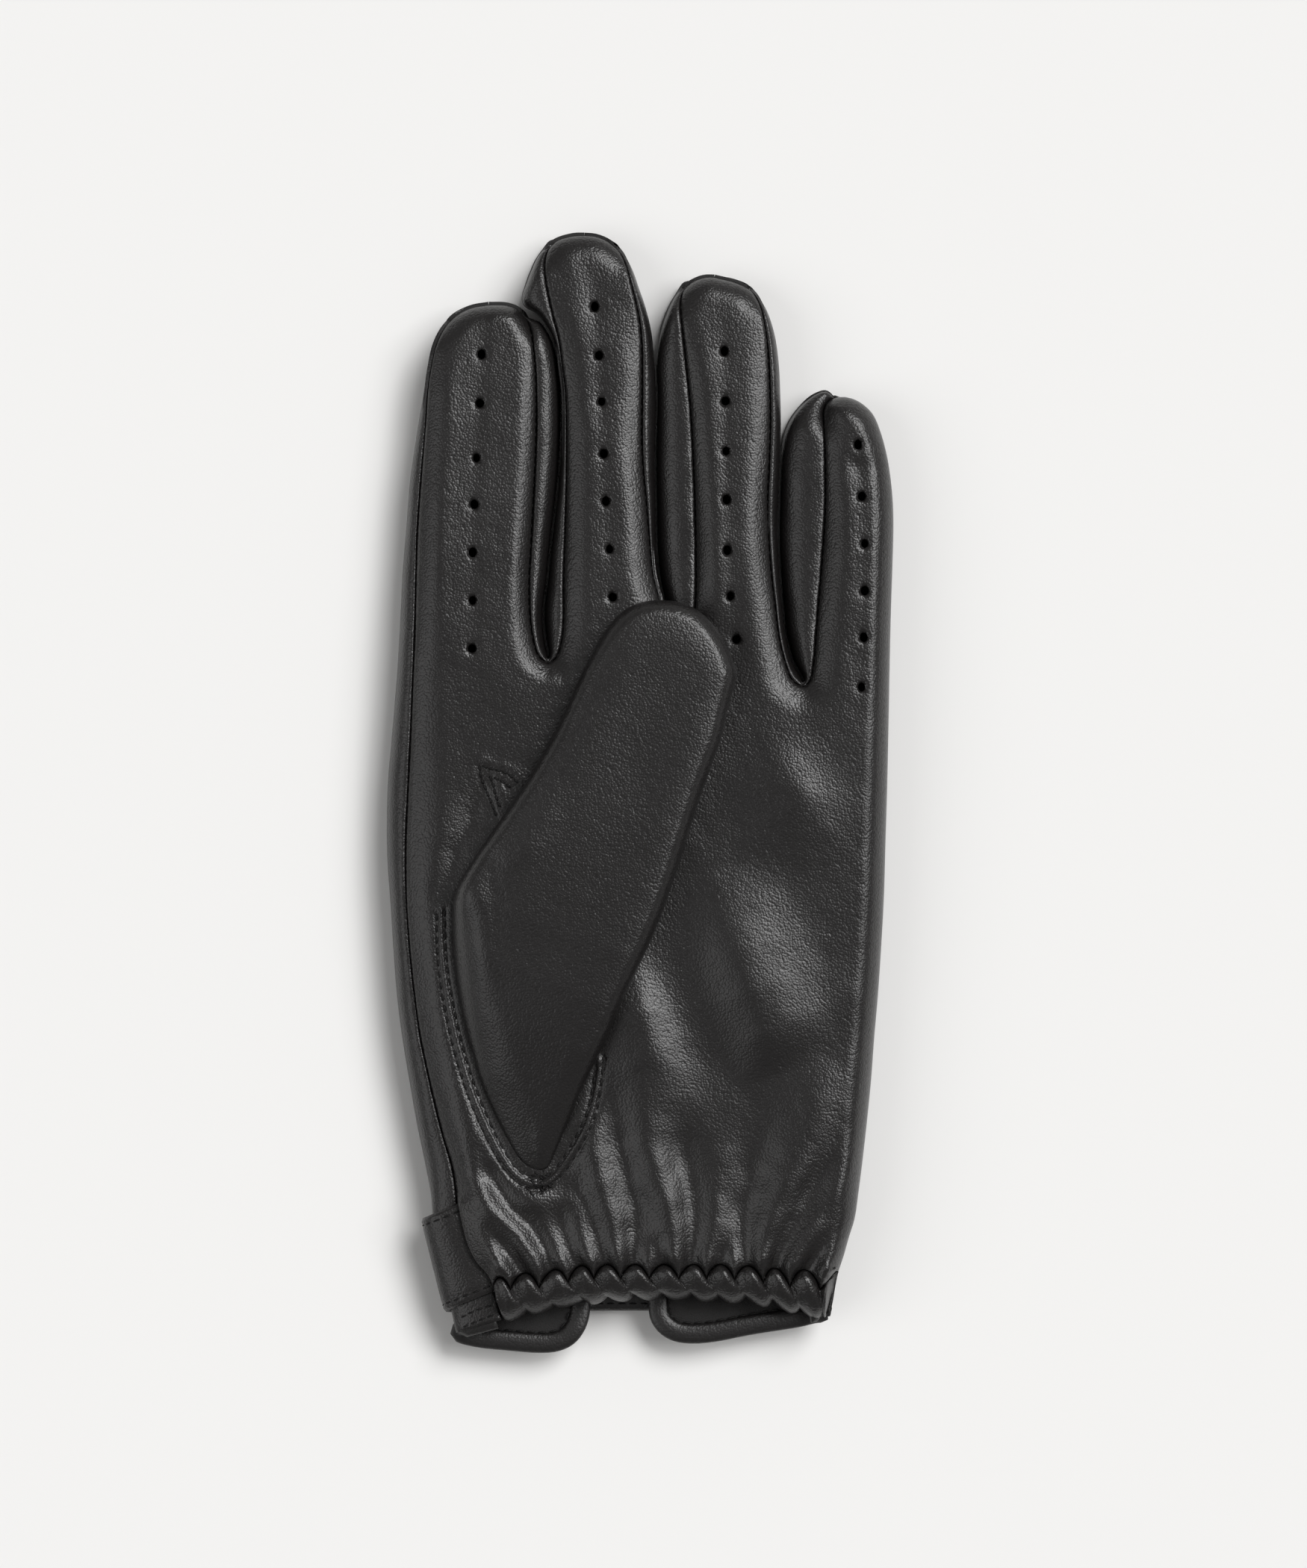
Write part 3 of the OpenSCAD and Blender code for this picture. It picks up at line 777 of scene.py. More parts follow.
def topstitching(xy):
    """The turned edge round the thumb's opening: two stitched grooves with a smooth band between."""
    inner, outer = (even(smooth_line(row, COARSE_STEP), 0, count=150) for row in THUMB_ROWS)
    z = np.zeros(len(xy))
    for line, height, half in ((inner, -0.5, 0.45), (outer, -0.5, 0.45), ((inner + outer) / 2, 0.3, 0.8)):
        z += ridge(xy, with_columns(line, height, half))
    for bar in STAR_BARS:
        row = even(smooth_line(bar, COARSE_STEP), 0, count=24)
        z += ridge(xy, with_columns(row, -0.3, 0.6))
        z += ridge(xy, with_columns(row + (0.55, 0.55), 0.22, 0.9))
    return z


def palm_crown(xy):
    """Height of the palm away from its seams, with its folds."""
    y = xy[:, 1]
    z = np.interp(y, [-95, -80, -50, 0, 20, 45, 70, 92, 105],
                  [13.4, 13.5, 13.7, 13.6, 13.4, 12.7, 11.4, 9.9, 9.0])
    for fold in PALM_FOLDS:
        z = z + ridge(xy, fold)
    for place in PALM_BULGES:
        z = z + bulge(xy, *place)
    for place in PALM_SWELLS:
        z = z + swell(xy, place)
    return z + topstitching(xy)


PALM_FOLDS = [
    # gathers that rise from the notches of the elastic seam
    [(-24.2, -92.2, 1.2, 1.6), (-26.6, -88, 1.47, 2.1), (-29.6, -83.4, 1.05, 2.7), (-31.6, -79.5, 0.63, 2.8),
     (-33, -76, 0.14, 2.8)],
    [(-18.4, -91.6, 1.3, 1.7), (-19.9, -87, 1.64, 2.4), (-23, -82.2, 1.54, 3.1), (-27.6, -78.4, 1.54, 3.2),
     (-31.4, -73.8, 1.33, 3.2), (-33.6, -67, 0.98, 3.4), (-35.2, -60, 0.77, 3.5), (-37, -50, 0.63, 3.6),
     (-39, -36, 0.49, 3.6), (-40, -22, 0.28, 3.6), (-39.8, -10, 0.07, 3.9)],
    [(-13.8, -91, 1.2, 1.5), (-15.2, -87.5, 1.16, 1.8), (-16.8, -84, 0.63, 2.1), (-18.4, -81.6, 0.21, 2.1)],
    [(-8.9, -91, 1.2, 1.5), (-9.4, -87.5, 1.34, 2), (-11.2, -82, 0.91, 2.7), (-12.6, -78, 0.49, 2.8),
     (-13.4, -74, 0.07, 2.8)],
    [(-3.9, -90.5, 1.2, 1.6), (-4.4, -86, 1.46, 2.6), (-5.4, -80, 1.47, 3.5), (-7.4, -74, 1.47, 3.7),
     (-8.8, -67, 1.19, 3.7), (-9.4, -60, 0.63, 3.7), (-8.6, -54, 0.14, 3.7)],
    [(1.4, -90, 1.1, 1.4), (1.2, -86, 0.65, 1.9), (0.6, -81, 0.14, 2.1)],
    [(6.9, -90, 1.2, 1.5), (6.3, -86.5, 1.42, 2.3), (6.2, -82, 1.4, 3.1), (5.2, -77, 1.47, 3.7),
     (3, -71.5, 1.47, 4.1), (1.2, -65.5, 1.26, 4.3), (0.2, -59, 0.7, 4.4), (0, -52, 0.14, 4.4)],
    [(12.2, -90.2, 1.1, 1.4), (12.6, -86, 0.97, 2), (13.4, -81, 0.77, 2.4), (14, -76, 0.49, 2.8),
     (14, -70, 0.14, 3)],
    [(17.5, -90.5, 1.1, 1.4), (17.6, -87, 0.78, 1.8), (18, -83, 0.21, 2.2)],
    [(22.6, -91, 1.3, 1.6), (22.4, -87.5, 1.6, 2.3), (23.4, -83, 1.54, 3.2), (25.4, -77.5, 1.68, 3.9),
     (28, -71, 1.61, 4.6), (31.4, -64, 1.33, 5.1), (34.4, -57, 0.84, 5.1), (36.6, -50, 0.21, 5.1)],
    [(27.8, -91.6, 1.3, 1.5), (28.4, -88, 1.65, 2.1), (30.4, -84, 1.4, 2.6), (33.4, -79.4, 1.33, 2.9),
     (36.6, -74.6, 1.12, 3.2), (38.6, -69, 0.7, 3.5), (39.6, -62, 0.21, 3.5)],
    [(33.4, -92.4, 1.2, 1.5), (35, -89, 1.36, 1.8), (36.8, -85, 1.06, 2.3), (38, -80.6, 0.63, 2.6),
     (39, -76, 0.14, 2.6)],
    # hollows between them
    [(-27.4, -92, -0.5, 1.4), (-30, -87.4, -0.34, 1.7), (-32, -82, -0.08, 2.2)],
    [(-21.5, -90, -1.1, 1.4), (-24, -86.4, -0.61, 1.7), (-27.4, -81.8, -0.38, 1.8), (-30, -78, -0.08, 1.8)],
    [(-16.2, -89.6, -1.1, 1.3), (-17.6, -85.4, -0.75, 1.7), (-20.6, -81, -0.9, 2), (-25, -76.4, -0.9, 2),
     (-28.6, -71.2, -0.68, 1.9), (-30.4, -67, -0.3, 1.7)],
    [(-11.3, -89, -0.96, 1.3), (-12.6, -85.5, -0.56, 1.6), (-14.4, -81, -0.52, 2.2), (-15, -77, -0.46, 2.2),
     (-14.2, -72, -0.17, 2)],
    [(-6.3, -88.8, -0.95, 1.3), (-7.2, -85, -0.66, 1.8), (-9, -79.4, -0.52, 2), (-10.8, -73, -0.41, 2.2),
     (-12.2, -67, -0.23, 2.5), (-12.6, -61, 0, 2.5)],
    [(-1.2, -88.5, -0.92, 1.4), (-1, -84.4, -0.67, 2.1), (-0.9, -79, -0.75, 2.7), (-2.2, -72, -0.75, 2.9),
     (-3.8, -65, -0.58, 3.1), (-4.2, -58, -0.23, 3.4)],
    [(4.2, -88.6, -0.84, 1.2), (3.8, -85, -0.26, 1.4), (3.2, -82, 0, 1.6)],
    [(9.8, -88.6, -0.93, 1.4), (9.8, -84, -0.58, 2), (10, -78.5, -0.7, 2.7), (9.2, -72, -0.75, 3.4),
     (8, -65, -0.64, 3.8), (7.4, -57, -0.23, 4)],
    [(15, -88.8, -0.85, 1.3), (15.4, -85, -0.33, 1.6), (16.2, -81, -0.06, 1.9)],
    [(20.2, -89, -1.06, 1.4), (19.4, -84, -0.64, 2.2), (19.6, -78, -0.75, 3), (20.6, -71, -0.7, 3.6),
     (21.6, -64, -0.46, 4), (24, -56, -0.17, 4)],
    [(25.2, -89.6, -1, 1.3), (26.2, -86, -0.66, 1.6), (28.6, -81, -0.58, 2), (31.8, -75.6, -0.64, 2.4),
     (35.2, -69.4, -0.58, 2.7), (37.6, -62, -0.35, 2.9), (38.8, -54, -0.06, 2.9)],
    [(30.6, -90.2, -1.1, 1.3), (32.6, -87, -0.73, 1.6), (35, -82.8, -0.41, 1.8), (37, -78.6, -0.17, 1.8)],
    [(22, -55, -0.17, 3.8), (28, -51, -0.41, 3.8), (34, -47.5, -0.41, 3.8), (39, -43, -0.12, 3.8)],
    # beside the thumb, where it pulls on the palm
    [(-28.5, 3, -0.2, 1.8), (-31.4, -4, -0.7, 2.1), (-34.4, -11, -0.8, 2.3), (-37, -18, -0.5, 2.3),
     (-38.6, -26, 0, 2.3)],
    # the pouch below the thumb's tack
    [(-23.6, -74.8, 0.21, 2.1), (-20, -77, 0.49, 2.6), (-16.5, -76, 0.28, 2.3)],
    # along the lines of vents
    [(-29.4, 86, -0.05, 1.3), (-30, 73, -0.08, 1.3), (-31, 54, -0.07, 1.3), (-31.4, 27, -0.05, 1.5)],
    [(-8.8, 95, -0.05, 1.3), (-7.7, 82, -0.09, 1.3), (-6.4, 55, -0.07, 1.3), (-5, 34, -0.05, 1.5)],
    [(15.8, 87, -0.05, 1.3), (16, 73, -0.1, 1.3), (16.2, 55, -0.08, 1.3), (18, 28, -0.06, 1.5)],
    [(40.6, 69, -0.05, 1.6), (41.5, 55, -0.1, 1.5), (42, 38, -0.08, 1.5), (41.4, 18, -0.05, 1.8)],
    [(-35.4, 86, 0.1, 2.6), (-36.2, 76, 0.32, 3), (-37, 55, 0.26, 3.2), (-37.4, 34, 0.2, 3.4),
     (-37.4, 14, 0, 4)],
    [(9.6, 90, 0.1, 2.6), (10.8, 80, 0.34, 3), (11.6, 60, 0.3, 3), (12.4, 40, 0.2, 3), (13, 28, 0, 3)],
    [(-13, 99, 0.2, 2.6), (-12.4, 90, 0.22, 2.6), (-11.4, 76, 0.1, 2.8), (-10, 60, 0, 3)],
    # creases across the little finger
    [(38, 63.6, -0.1, 1.1), (41, 61, -0.25, 1.4), (44.5, 61.8, -0.12, 1.2)],
]
PALM_BULGES = [
    (14.5, 27, 7.5, 12, -0.9, -10),
    (-17.2, 20, 5, 5, -0.15), (30.6, 16, 5, 5, -0.2), (6.7, 21, 5, 5, -0.2),
    (-36, 12, 6, 14, -0.25), (-30, -2, 5, 6, -0.35), (40.5, 60, 4, 3, -0.3),
    (41, 68.5, 3, 3, 0.35), (-20, -76, 4, 3, 0.5), (15.5, -50, 5, 7, -0.5),
]
# Broad soft folds across the palm, each steeper on its right
PALM_SWELLS = [
    [(14.4, -14, 0.2, 6, 8), (16, -21, 1.2, 6, 9), (18.2, -29, 2.2, 6.5, 9.5), (21, -37, 2.5, 6.5, 9.5),
     (24, -44.5, 1.9, 6.5, 9.5), (27, -52, 0.5, 6, 9)],
    [(37.5, -12, 0.1, 5, 8), (34, -7, 0.7, 5.5, 9), (30, -1.5, 1.2, 5.5, 9.5), (26.2, 4, 1.0, 5.5, 9),
     (22.5, 9, 0.1, 5, 8)],
    [(9.5, -65, 0.1, 4.5, 6), (5.8, -57, 1.0, 4.8, 8), (2.4, -49, 1.8, 5, 9), (0, -41, 1.9, 4.5, 9),
     (-1.4, -34, 1.1, 4.5, 8), (-1.6, -28, 0.2, 4.5, 8)],
]


# ---------------------------------------------------------------- palm

# How far the index side's seam rises over the strap, and how high the palm ends at the wrist
STRAP_STEP = 1.7
WRIST_Z = 12.5


def seam_columns(key, step=LINE_STEP):
    """A seam line as (x, y, edge height, reach of its rounding, how much it is a fold)."""
    finger = key.split("_")[0]
    p = smooth_line(SEAM[key], step)
    y = p[:, 1]
    z = seam_height(y, finger)
    reach = np.interp(y, [-92, -78, -50, 0, 26, 45, 105], [3.5, 6, 8.5, 8, 5.6, 4.8, 4.6])
    if key == "index_right":
        reach = reach * 0.75
    if key == "index_left":
        z = z + STRAP_STEP * step01((-74.3 - y) / 3)
    return with_columns(p, z, reach, step01((y - TIP_Y[finger] + 7) / 6))


def fold_columns(points):
    """The same columns for the fold on the little finger's side."""
    p = smooth_line(points, LINE_STEP)
    y = p[:, 1]
    reach = np.interp(y, [-98, -80, -50, 20, 74], [4, 4.4, 5, 4.6, 4.6])
    return with_columns(p, np.maximum(edge_height(y), 5.4), reach, 1)


# The hem between the elastic seam and the bottom edge: where its valleys meet each of them
SEAM_LOW = [(-27.4, -92.4)] + [(x, notch_low(x)) for x in NOTCHES] + [(37.2, -89.6)]
SEAM_HIGH = [(-26, -90.6)] + [(x, puff_top(x)) for x in PUFFS] + [(35.5, -91)]
EDGE_HIGH = [(-25.8, -98.3), (-21, -97.2), (-16, -96.2), (-10.5, -95), (-6, -94.5), (-1, -94),
             (4.5, -94), (10, -94.1), (15, -94.5), (20, -94.5), (25, -95.2), (30, -96.7), (34.2, -97.7),
             (35.2, -97.6)]
EDGE_LOW = [(-24, -99.2), (-19, -97.9), (-14, -96.6), (-8.5, -96), (-3, -95.5), (2, -95.3),
            (7, -95.3), (12, -95.7), (17.5, -96), (23, -96.6), (28, -97.6), (32.6, -98.6), (34.8, -98.5)]


def scallops(ends, middles, t, power):
    """A line of arches: where they meet, their middles, and how round they are."""
    ends, middles = np.array(ends, float), np.array(middles, float)
    i = np.clip(t.astype(int), 0, len(middles) - 1)
    f = (t - i)[:, None]
    a, b, mid = ends[i], ends[i + 1], middles[i]
    line = a * (1 - f) + b * f
    rise = mid - (a + b) / 2
    arch = np.sin(math.pi * np.clip(f, 0, 1)) ** power
    return line + rise * np.column_stack([4 * f * (1 - f), arch])


def wrist_end(x):
    """How far the wrist's right-hand end is turned down, where the palm folds round to the back."""
    return 4.8 * step01((np.asarray(x, float) - 34.4) / 2.8)


def elastic_seam(count):
    """The gathered seam from left to right, and how many puffs it has passed at each point."""
    t = np.linspace(0, len(SEAM_HIGH), count)
    return scallops(SEAM_LOW, SEAM_HIGH, t, 0.62), t


def round_fingers(columns):
    """The lines round all four fingers, up the index side and down to the little finger's tip."""
    parts = [columns("index_left"), columns("index_right")[::-1][1:]]
    for finger in ("middle", "ring"):
        parts.append(columns(finger + "_left")[1:])
        parts.append(columns(finger + "_right")[::-1][1:])
    return parts + [columns("little_left")[1:]]


def palm_loop():
    """The palm's outline, with the columns of its seams."""
    parts = round_fingers(seam_columns) + [fold_columns(FOLD)[1:]]
    gather = even(elastic_seam(300)[0][::-1], 0.4)[1:-1]
    parts.append(with_columns(gather, WRIST_Z - wrist_end(gather[:, 0]), 2.0, 0.5))
    return np.vstack(parts)


# Height and width of the leather's turn beside a seam
LIP = 0.6


def palm_height(xy, d, cols):
    """Height of the palm leather from its distance to the seams."""
    crown = palm_crown(xy)
    z_edge, reach, fold = cols[:, 2], cols[:, 3], cols[:, 4]
    rise = crown - z_edge
    soft = 1 - (1 - np.clip(d / reach, 0, 1)) ** 2
    seam = np.minimum(LIP, rise) * quarter(d / LIP) + np.maximum(rise - LIP, 0) * soft
    turned = rise * quarter(d / reach)
    return z_edge + seam * (1 - fold) + turned * fold


PALM_LOOP = palm_loop()


def palm_z(xy):
    """Height of the palm's leather at places in plan."""
    xy = np.asarray(xy, float)[:, :2]
    d, cols = edge_distance(xy, PALM_LOOP)
    return palm_height(xy, d, cols)


# Lines that part each finger from the next, as (y, x)
DIVIDES = [
    [(20, -17.3), (34, -18.2), (46, -16.9), (58, -15.5), (65, -15), (73, -14.8), (80, -15.2), (85.2, -16.4),
     (88, -17.9), (90, -19.6), (91.5, -21.9), (93.3, -23.5)],
    [(20, 6.65), (31, 5.8), (36, 4.7), (41, 3.6), (48, 3.1), (60, 2.9), (75, 3.1), (82, 2.9)],
    [(18, 30.6), (25, 28.7), (30, 27.4), (35, 26.9), (41, 26.4), (50, 26.1), (56, 26.2), (61, 26.4),
     (69, 26.8), (75, 27)]]


def finger_masks(centre):
    """Which faces belong to each finger beyond its cut, by the middles of the faces."""
    x, y = centre[:, 0], centre[:, 1]
    edges = [np.interp(y, *np.transpose(divide)) for divide in DIVIDES]
    edges = [np.full(len(x), -60.0)] + edges + [np.full(len(x), 60.0)]
    masks = {}
    for i, finger in enumerate(FINGERS):
        masks[finger] = (x >= edges[i]) & (x < edges[i + 1]) & (y > CUT_Y[finger])
    return masks


def bend_at(piece):
    """Bakes a piece's placement into its mesh."""
    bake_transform(piece)
    return piece


def vent_loops():
    """The punched holes, no two quite alike."""
    loops = []
    for places in VENTS.values():
        for i, (x, y) in enumerate(places):
            rx, ry = 0.72 + 0.06 * math.sin(i * 2.3), 0.86 + 0.07 * math.cos(i * 1.7)
            loops.append(ellipse(x, y, rx, ry, 12))
    return loops


def make_palm():
    """The palm's panel: dimpled round its vents, calm at its seams, more creased at the wrist."""
    holes = vent_loops()
    rows = [smooth_line(row, COARSE_STEP) for row in THUMB_ROWS]
    verts, faces = flat_mesh(PALM_LOOP, holes, lines=rows)
    d, cols = edge_distance(verts, PALM_LOOP)
    z = palm_height(verts, d, cols)
    for hole in holes:
        c = hole.mean(axis=0)
        r = np.linalg.norm(verts - c, axis=1)
        z -= 0.18 * np.exp(-((r - 0.6) / 0.6) ** 2)
    xyz = np.column_stack([verts, z])
    calm = step01(d / 3)
    xyz[:, 2] += calm * (wobble(xyz, 9, 0.14) + wobble(xyz, 3.2, 0.05, 5.0))
    wrist = calm * step01((-52 - verts[:, 1]) / 20)
    xyz[:, 2] += wrist * (wobble(xyz, 4.6, 0.2, 3.0) + wobble(xyz, 2.1, 0.05, 6.0))
    return panel_pieces(xyz, verts, faces, "palm")


def panel_pieces(xyz, verts, faces, kind):
    """The hand's part of a panel, and each finger's part beyond its cut."""
    centre = verts[faces].mean(axis=1)
    masks = finger_masks(centre)
    names = {each + "_" + kind + "_leather": masks[each] for each in FINGERS}
    names[kind + "_leather"] = ~np.any(list(masks.values()), axis=0)
    made = shell_pieces(xyz, faces, names)
    pieces = {each: bend_at(made[each + "_" + kind + "_leather"]) for each in FINGERS}
    pieces["hand"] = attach(made[kind + "_leather"], "hand")
    return pieces


# ---------------------------------------------------------------- sides and fourchettes

CROTCH = {
    "index_right": (-17.3, 25.2), "middle_left": (-17.3, 25.2), "middle_right": (6.65, 26.2),
    "ring_left": (6.65, 26.2), "ring_right": (30.6, 20.8), "little_left": (30.6, 20.8)}
# The sides' lower line: how far in from the outermost one, and how high off the ground
LOWER_INSET = 2.4
LOWER_Z = 1.5


def lift(y):
    """How far the back stands off the ground, where the strap passes under it."""
    return 4.4 * step01((-65.5 - np.asarray(y, float)) / 13.5)


def closest(xy, line):
    """The nearest point of a line to each point."""
    _, where = near_line(xy, line)
    n = np.arange(len(line))
    return np.stack([np.interp(where, n, line[:, 0]), np.interp(where, n, line[:, 1])], axis=1)


def tip_share(line, finger):
    """How far the strip's line has come round the fingertip, 0 to 1."""
    if finger == "little":
        return step01((line[:, 0] - 34.8) / 2.4) * step01((line[:, 1] - 72.5) / 1.5)
    return step01((line[:, 1] - TIP_Y[finger] + 3.6) / 3)


def side_lines(key):
    """Upper, outermost and lower lines of a strip beside a finger, as (x, y, z)."""
    finger, side = key.split("_")
    seam = list(SEAM[key])
    edge = list(EDGE_LINE[key])
    if key == "index_left":
        seam = [(-25.9, -98.7), (-26.5, -95.6)] + seam
    else:
        edge = [CROTCH[key]] + edge
    u = smooth_line(seam, COARSE_STEP)
    s = smooth_line(edge, COARSE_STEP)
    if finger == "little":
        u[:, 1] -= 0.75 * step01((u[:, 0] - 36.2) / 1.6)
    inward = side_normals(s) * (-1 if side == "left" else 1)
    tuck = 0.9 * tip_share(s, finger)[:, None]
    tuck_up = tip_share(u, finger)
    s[:, :2] += (closest(s[:, :2], u) + inward * 0.35 - s[:, :2]) * tuck
    uz = seam_height(u[:, 1], finger) + 0.25 - tuck_up * 0.8
    sz = edge_height(s[:, 1]) - tuck[:, 0]
    inset = np.full(len(s), LOWER_INSET)
    tip_inset = 2.9 * step01((s[:, 1] - TIP_Y[finger] + 26) / 18)
    if finger == "little":
        inset -= tip_inset
    elif side == "left" and finger != "index":
        inset -= tip_inset * step01((TIP_Y[finger] - s[:, 1]) / 2) + 1.5 * tip_share(s, finger)
    else:
        inset -= 1.5 * tip_share(s, finger)
    low = s[:, :2] + inward * inset[:, None]
    if key != "index_left":
        low[:, 1] = np.maximum(low[:, 1], low[0, 1] - 1.0)
        low[0] = (CROTCH[key][0], CROTCH[key][1] - 1.0)
    lz = LOWER_Z + lift(s[:, 1]) + 2.2 * step01((s[:, 1] - TIP_Y[finger] + 3) / 3)
    if finger == "little":
        lz += 1.2 * step01((s[:, 0] - 36) / 2.4)
    return (np.column_stack([u, uz]), np.column_stack([s, sz]), np.column_stack([low, lz]))


def make_side(key, name):
    """A strip beside a finger; the index side also has a part on the hand."""
    finger = key.split("_")[0]
    u, s, low = side_lines(key)
    rows = int(len(s) * COARSE_STEP / 0.7)
    pts = strip_points(u, s, low, rows, bulge_up=0.0 if key == "index_left" else 0.5)
    flat = pts.reshape(-1, 3)
    fade = np.ones(pts.shape[:2])
    fade[:, :2] = 0
    fade[:, -2:] = 0
    puff = (wobble(flat, 7, 0.35, 2.0) + wobble(flat, 2.8, 0.12, 8.0)).reshape(pts.shape[:2]) * fade
    pts[:, :, 2] += puff * 0.6
    rows, cols = pts.shape[:2]
    verts = pts.reshape(-1, 3)
    faces = np.array(grid_faces(rows, cols, flip=key.endswith("left")))
    if key != "index_left":
        return bend_at(shell_piece(name, verts, faces))
    cut = int(np.argmax(pts[:, EDGE_COLUMN, 1] > CUT_Y[finger]))
    beyond = faces.min(axis=1) >= cut * cols
    made = shell_pieces(verts, faces, {name: beyond, "index_side_leather": ~beyond})
    return bend_at(made[name]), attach(made["index_side_leather"], "hand")


# ---------------------------------------------------------------- back

# The keyhole's middle and half sizes, half the width of the slot below it, and the back's height
KEYHOLE = (-3.9, -64.0, 13.0, 16.0)
SLOT_HALF = 5.9
BACK_Z = 0.25
RIGHT_FLAP = [(35, -98.9), (33, -99.5), (30, -100.2), (25, -101), (20, -101.8), (15, -102.8), (10, -103.3),
              (6, -102.7), (3.5, -101), (2.3, -99), (2, -96.5), (2, -92)]
LEFT_FLAP = [(-9.8, -92), (-9.8, -96.5), (-10.1, -99.2), (-11.2, -101.7), (-13.2, -103.8),
             (-16.2, -104.9), (-20, -105), (-25, -104.6), (-30, -104.1), (-32.4, -103.7)]
KNUCKLES = [(-31, 4), (-9, 8), (13, 6), (33.5, -1)]
KNUCKLE_RX, KNUCKLE_RY = 5.5, 8.0


def keyhole_line():
    """Up the slot on the right, round the keyhole, and down on the left."""
    cx, cy, rx, ry = KEYHOLE
    a0 = math.asin(SLOT_HALF / rx)
    a = np.linspace(a0, 2 * math.pi - a0, 40)
    return [(cx + rx * math.sin(t), cy - ry * math.cos(t)) for t in a]


def cuff_line():
    """The back's edge at the wrist, from the right corner to the left."""
    points = RIGHT_FLAP + [(2, -84)] + keyhole_line() + [(-9.8, -84)] + LEFT_FLAP
    return smooth_line(points, COARSE_STEP)


def back_crown(xy):
    """Height of the back away from its edges."""
    z = BACK_Z + lift(xy[:, 1])
    z = z + bulge(xy, 14, -40, 12, 16, 0.5) + bulge(xy, -22, -35, 10, 18, 0.5)
    for x, y in KNUCKLES:
        z = z + bulge(xy, x, y, 9, 11, 0.35)
    return z


def low_columns(key):
    """A side's lower line, with the same columns as a seam."""
    low = even(side_lines(key)[2], 0.5)
    reach = 3.2 + 1.5 * step01((low[:, 1] - TIP_Y[key.split("_")[0]] + 8) / 8)
    return with_columns(low, reach, 1)


def back_loop():
    """The back's outline, with the columns of its edges."""
    right = FOLD + [(36.7, -92.6), (36.2, -95.6), (35.7, -97.8)]
    cuff = cuff_line()
    parts = round_fingers(low_columns) + [fold_columns(right)[1:]]
    parts.append(with_columns(cuff, BACK_Z + lift(cuff[:, 1]), 2, 1))
    return np.vstack(parts)


def make_back():
    """The back's panel, resting on the ground, with the four knuckle holes."""
    loop = back_loop()
    holes = [ellipse(x, y, KNUCKLE_RX, KNUCKLE_RY) for x, y in KNUCKLES]
    verts, faces = flat_mesh(loop, holes, step=0.9)
    d, cols = edge_distance(verts, loop)
    crown = back_crown(verts)
    z = cols[:, 2] - (cols[:, 2] - crown) * quarter(d / cols[:, 3])
    xyz = np.column_stack([verts, z])
    xyz[:, 2] += step01(d / 3) * (0.12 + wobble(xyz, 8, 0.22, 3.0) + wobble(xyz, 3, 0.06, 1.0))
    xyz[:, 2] = np.maximum(xyz[:, 2], 0.05)
    return panel_pieces(xyz, verts, faces[:, ::-1], "back")


# Where the cuff's binding runs on round the two corners of the cuff
BINDING_RIGHT = [(31.8, -97.6, 9.2), (33.4, -97.4, 8.3), (34, -97.8, 7)]
BINDING_LEFT = [(-33.8, -101.6, 6.6), (-33.2, -100.6, 8.2), (-30.5, -99.7, 9.1), (-27, -98.7, 9.7)]
BINDING_INSET = 1.45
RIM_Z = 1.1


def make_bindings():
    """Leather strip folded over the cuff's edge, and turned rims round the knuckle holes."""
    cuff = cuff_line()
    inset = cuff + side_normals(cuff) * -BINDING_INSET
    line = with_columns(inset, BACK_Z + lift(inset[:, 1]) + 0.75)
    line[:, 2] += 0.5 * step01((-95 - line[:, 1]) / 6)
    line = smooth_line(np.vstack([BINDING_RIGHT, line[4:-4:6], BINDING_LEFT]), 0.7)
    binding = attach(sweep("cuff_binding", line, ellipse(0, 0, 1.85, 0.72, 16)), "hand")
    rims = []
    for i, (x, y) in enumerate(KNUCKLES):
        path = with_columns(ellipse(x, y, KNUCKLE_RX + 0.5, KNUCKLE_RY + 0.5), RIM_Z)
        rim = sweep("knuckle_rim_%d" % (i + 1), path, ellipse(0, 0, 1.25, 0.95, 12), closed=True)
        rims.append(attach(rim, "hand"))
    return binding, rims


# ---------------------------------------------------------------- hem and elastic

# Across the hem: how far down it, its height, and how much of a puff's height it gets
HEM_SHAPE = [
    (0.0, 12.6, 0.0), (0.03, 12.9, 0.3), (0.08, 13.15, 0.66), (0.15, 13.3, 0.92), (0.24, 13.35, 1.0),
    (0.35, 13.35, 0.9), (0.47, 13.25, 0.7), (0.6, 12.95, 0.5), (0.72, 12.45, 0.4), (0.83, 11.7, 0.32),
    (0.91, 10.8, 0.28), (0.97, 9.8, 0.2), (1.0, 8.9, 0.2), (0.975, 8.1, 0.1), (0.88, 7.7, 0),
    (0.7, 7.5, 0), (0.45, 7.6, 0), (0.15, 8.0, 0)]
PUFF_HEIGHT = 1.55
# Points along the hem, and the height of the thread in the elastic seam
HEM_COUNT = 470
SEAM_THREAD_Z = 12.4


